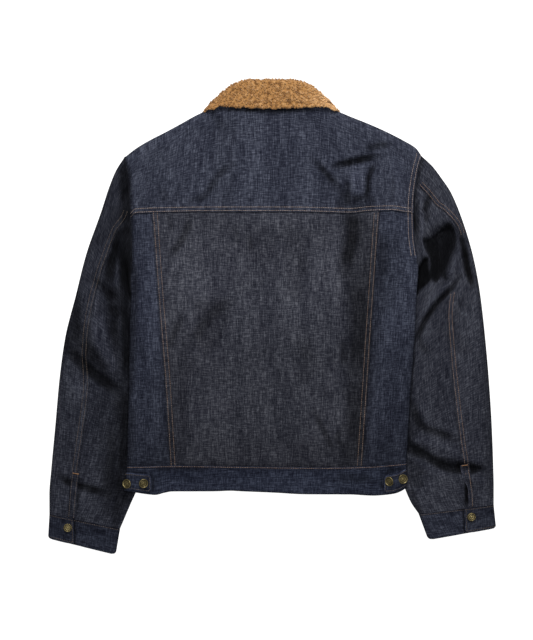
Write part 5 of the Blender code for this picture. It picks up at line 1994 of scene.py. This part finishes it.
def tuft_tree():
    """Small curls over the outer face of a piece of pile."""
    tree, given, made = new_tree(
        "tufts",
        "GeometryNodeTree",
        (
            ("Cloth", "Geometry", None),
            ("Spacing", "Float", 0.0027),
            ("Curl", "Float", 0.0015),
            ("Strand", "Float", 0.0009),
            ("Seed", "Int", 7),
            ("Pile", "Material", None),
        ),
        (("Tufts", "Geometry"),),
    )
    add = Nodes(tree).add
    outside = add("GeometryNodeInputNamedAttribute", {"data_type": "FLOAT"}, Name="outside")
    is_out = add("FunctionNodeCompare", {"data_type": "FLOAT", "operation": "GREATER_THAN"})
    is_out.inputs[1].default_value = 0.6
    poisson = {"distribute_method": "POISSON"}
    spots = add("GeometryNodeDistributePointsOnFaces", poisson, Density_Max=120000.0)
    spiral = add("GeometryNodeCurveSpiral", Resolution=7, Rotations=1.15, Height=0.0011)
    inner = add("ShaderNodeMath", {"operation": "MULTIPLY"})
    inner.inputs[1].default_value = 0.35
    profile = add("GeometryNodeCurvePrimitiveCircle", Resolution=4)
    tube = add("GeometryNodeCurveToMesh", Fill_Caps=True)
    tilt = add("FunctionNodeRandomValue", {"data_type": "FLOAT_VECTOR"})
    tilt.inputs[0].default_value = (-0.35, -0.35, -3.14)
    tilt.inputs[1].default_value = (0.35, 0.35, 3.14)
    turn = add("FunctionNodeRotateRotation", {"rotation_space": "LOCAL"})
    to_rotation = add("FunctionNodeEulerToRotation")
    scale = add("FunctionNodeRandomValue", {"data_type": "FLOAT"})
    scale.inputs[2].default_value = 0.6
    scale.inputs[3].default_value = 1.25
    tone = add("FunctionNodeRandomValue", {"data_type": "FLOAT"})
    instances = add("GeometryNodeInstanceOnPoints")
    per_tuft = {"data_type": "FLOAT", "domain": "INSTANCE"}
    store = add("GeometryNodeStoreNamedAttribute", per_tuft, Name="tone")
    realize = add("GeometryNodeRealizeInstances")
    painted = add("GeometryNodeSetMaterial")
    link_values(
        tree,
        (given.outputs["Cloth"], spots.inputs["Mesh"]),
        (outside.outputs[0], is_out.inputs[0]),
        (is_out.outputs[0], spots.inputs["Selection"]),
        (given.outputs["Spacing"], spots.inputs["Distance Min"]),
        (given.outputs["Seed"], spots.inputs["Seed"]),
        (given.outputs["Curl"], spiral.inputs["End Radius"]),
        (given.outputs["Curl"], inner.inputs[0]),
        (inner.outputs[0], spiral.inputs["Start Radius"]),
        (given.outputs["Strand"], profile.inputs["Radius"]),
        (spiral.outputs[0], tube.inputs["Curve"]),
        (profile.outputs[0], tube.inputs["Profile Curve"]),
        (tilt.outputs[0], to_rotation.inputs[0]),
        (spots.outputs["Rotation"], turn.inputs[0]),
        (to_rotation.outputs[0], turn.inputs[1]),
        (spots.outputs["Points"], instances.inputs["Points"]),
        (tube.outputs[0], instances.inputs["Instance"]),
        (turn.outputs[0], instances.inputs["Rotation"]),
        (scale.outputs[1], instances.inputs["Scale"]),
        (instances.outputs[0], store.inputs["Geometry"]),
        (tone.outputs[1], store.inputs["Value"]),
        (store.outputs[0], realize.inputs[0]),
        (realize.outputs[0], painted.inputs["Geometry"]),
        (given.outputs["Pile"], painted.inputs["Material"]),
        (painted.outputs[0], made.inputs[0]),
    )
    return tree


def press_flat(piece, low=-0.0035, high=0.0015):
    """Squeezes what hangs below the surface, in metres, into the thin gap above it."""
    places = np.empty(3 * len(piece.data.vertices), np.float32)
    piece.data.vertices.foreach_get("co", places)
    heights = places[2::3]
    places[2::3] = np.where(heights < high, np.interp(heights, (low, high), (0.0001, high)), heights)
    piece.data.vertices.foreach_set("co", places)
    piece.data.update()


def build_tufts(collar):
    source = new_object("tuft_cloth", collar.data.copy())
    piece = to_plain_mesh(source, "collar_tufts", {"Pile": TUFTS, "Seed": 7}, tuft_tree())
    press_flat(piece)
    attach(piece, "root")
    return piece


# ---- surroundings


FLOOR_REACH = 6.0
PAPER = (0.35, 0.35, 0.35, 1.0)
WHITE = (1.0, 1.0, 1.0, 1.0)
ROOM_LIGHT = 0.22


def build_stage():
    mesh = bpy.data.meshes.new("floor")
    corners = [(x * FLOOR_REACH, y * FLOOR_REACH, 0) for x, y in ((-1, -1), (1, -1), (1, 1), (-1, 1))]
    mesh.from_pydata(corners, [], [(0, 1, 2, 3)])
    material, nodes, shader = new_material("white_paper", 1.0)
    shader.inputs["Base Color"].default_value = PAPER
    shader.inputs["Emission Color"].default_value = WHITE
    seen = nodes.add("ShaderNodeLightPath").outputs["Is Camera Ray"]
    nodes.feed(shader.inputs["Emission Strength"], nodes.calc("MULTIPLY_ADD", seen, 0.95, 0.05))
    mesh.materials.append(material)
    new_object("floor", mesh)


def lamp(name, place, size, power):
    data = bpy.data.lights.new(name, "AREA")
    data.shape = "DISK"
    data.size = size
    data.energy = power
    light = new_object(name, data)
    light.location = place
    light.rotation_euler = (Vector() - Vector(place)).to_track_quat("-Z", "Y").to_euler()


CAMERA_HEIGHT = 4.02
PICTURE_WIDTH = 0.93275  # of the plane that the jacket lies in, across the picture
PICTURE_MIDDLE = (-0.0085, -0.0070)


def build_view():
    scene = bpy.context.scene
    world = bpy.data.worlds.new("room")
    world.use_nodes = True
    background = world.node_tree.nodes["Background"]
    background.inputs[0].default_value = WHITE
    background.inputs[1].default_value = ROOM_LIGHT
    scene.world = world
    lamp("overhead", (0.0, 0.3, 3.4), 1.4, 38.0)
    lamp("from_the_top", (0.1, 2.5, 2.1), 0.7, 72.0)
    data = bpy.data.cameras.new("camera")
    data.sensor_fit = "HORIZONTAL"
    data.sensor_width = 36.0
    data.lens = 36.0 * (CAMERA_HEIGHT - 0.02) / PICTURE_WIDTH
    data.clip_end = 20.0
    scene.camera = new_object("camera", data)
    scene.camera.location = (*PICTURE_MIDDLE, CAMERA_HEIGHT)
    scene.view_settings.view_transform = "Standard"


def main():
    build_back()
    build_fronts()
    build_waistband()
    build_tabs()
    build_sleeves()
    build_strips()
    build_cuffs()
    collar = build_collar()
    build_buttons()
    build_sewing()
    tufts = build_tufts(collar)
    build_stage()
    build_view()


main()
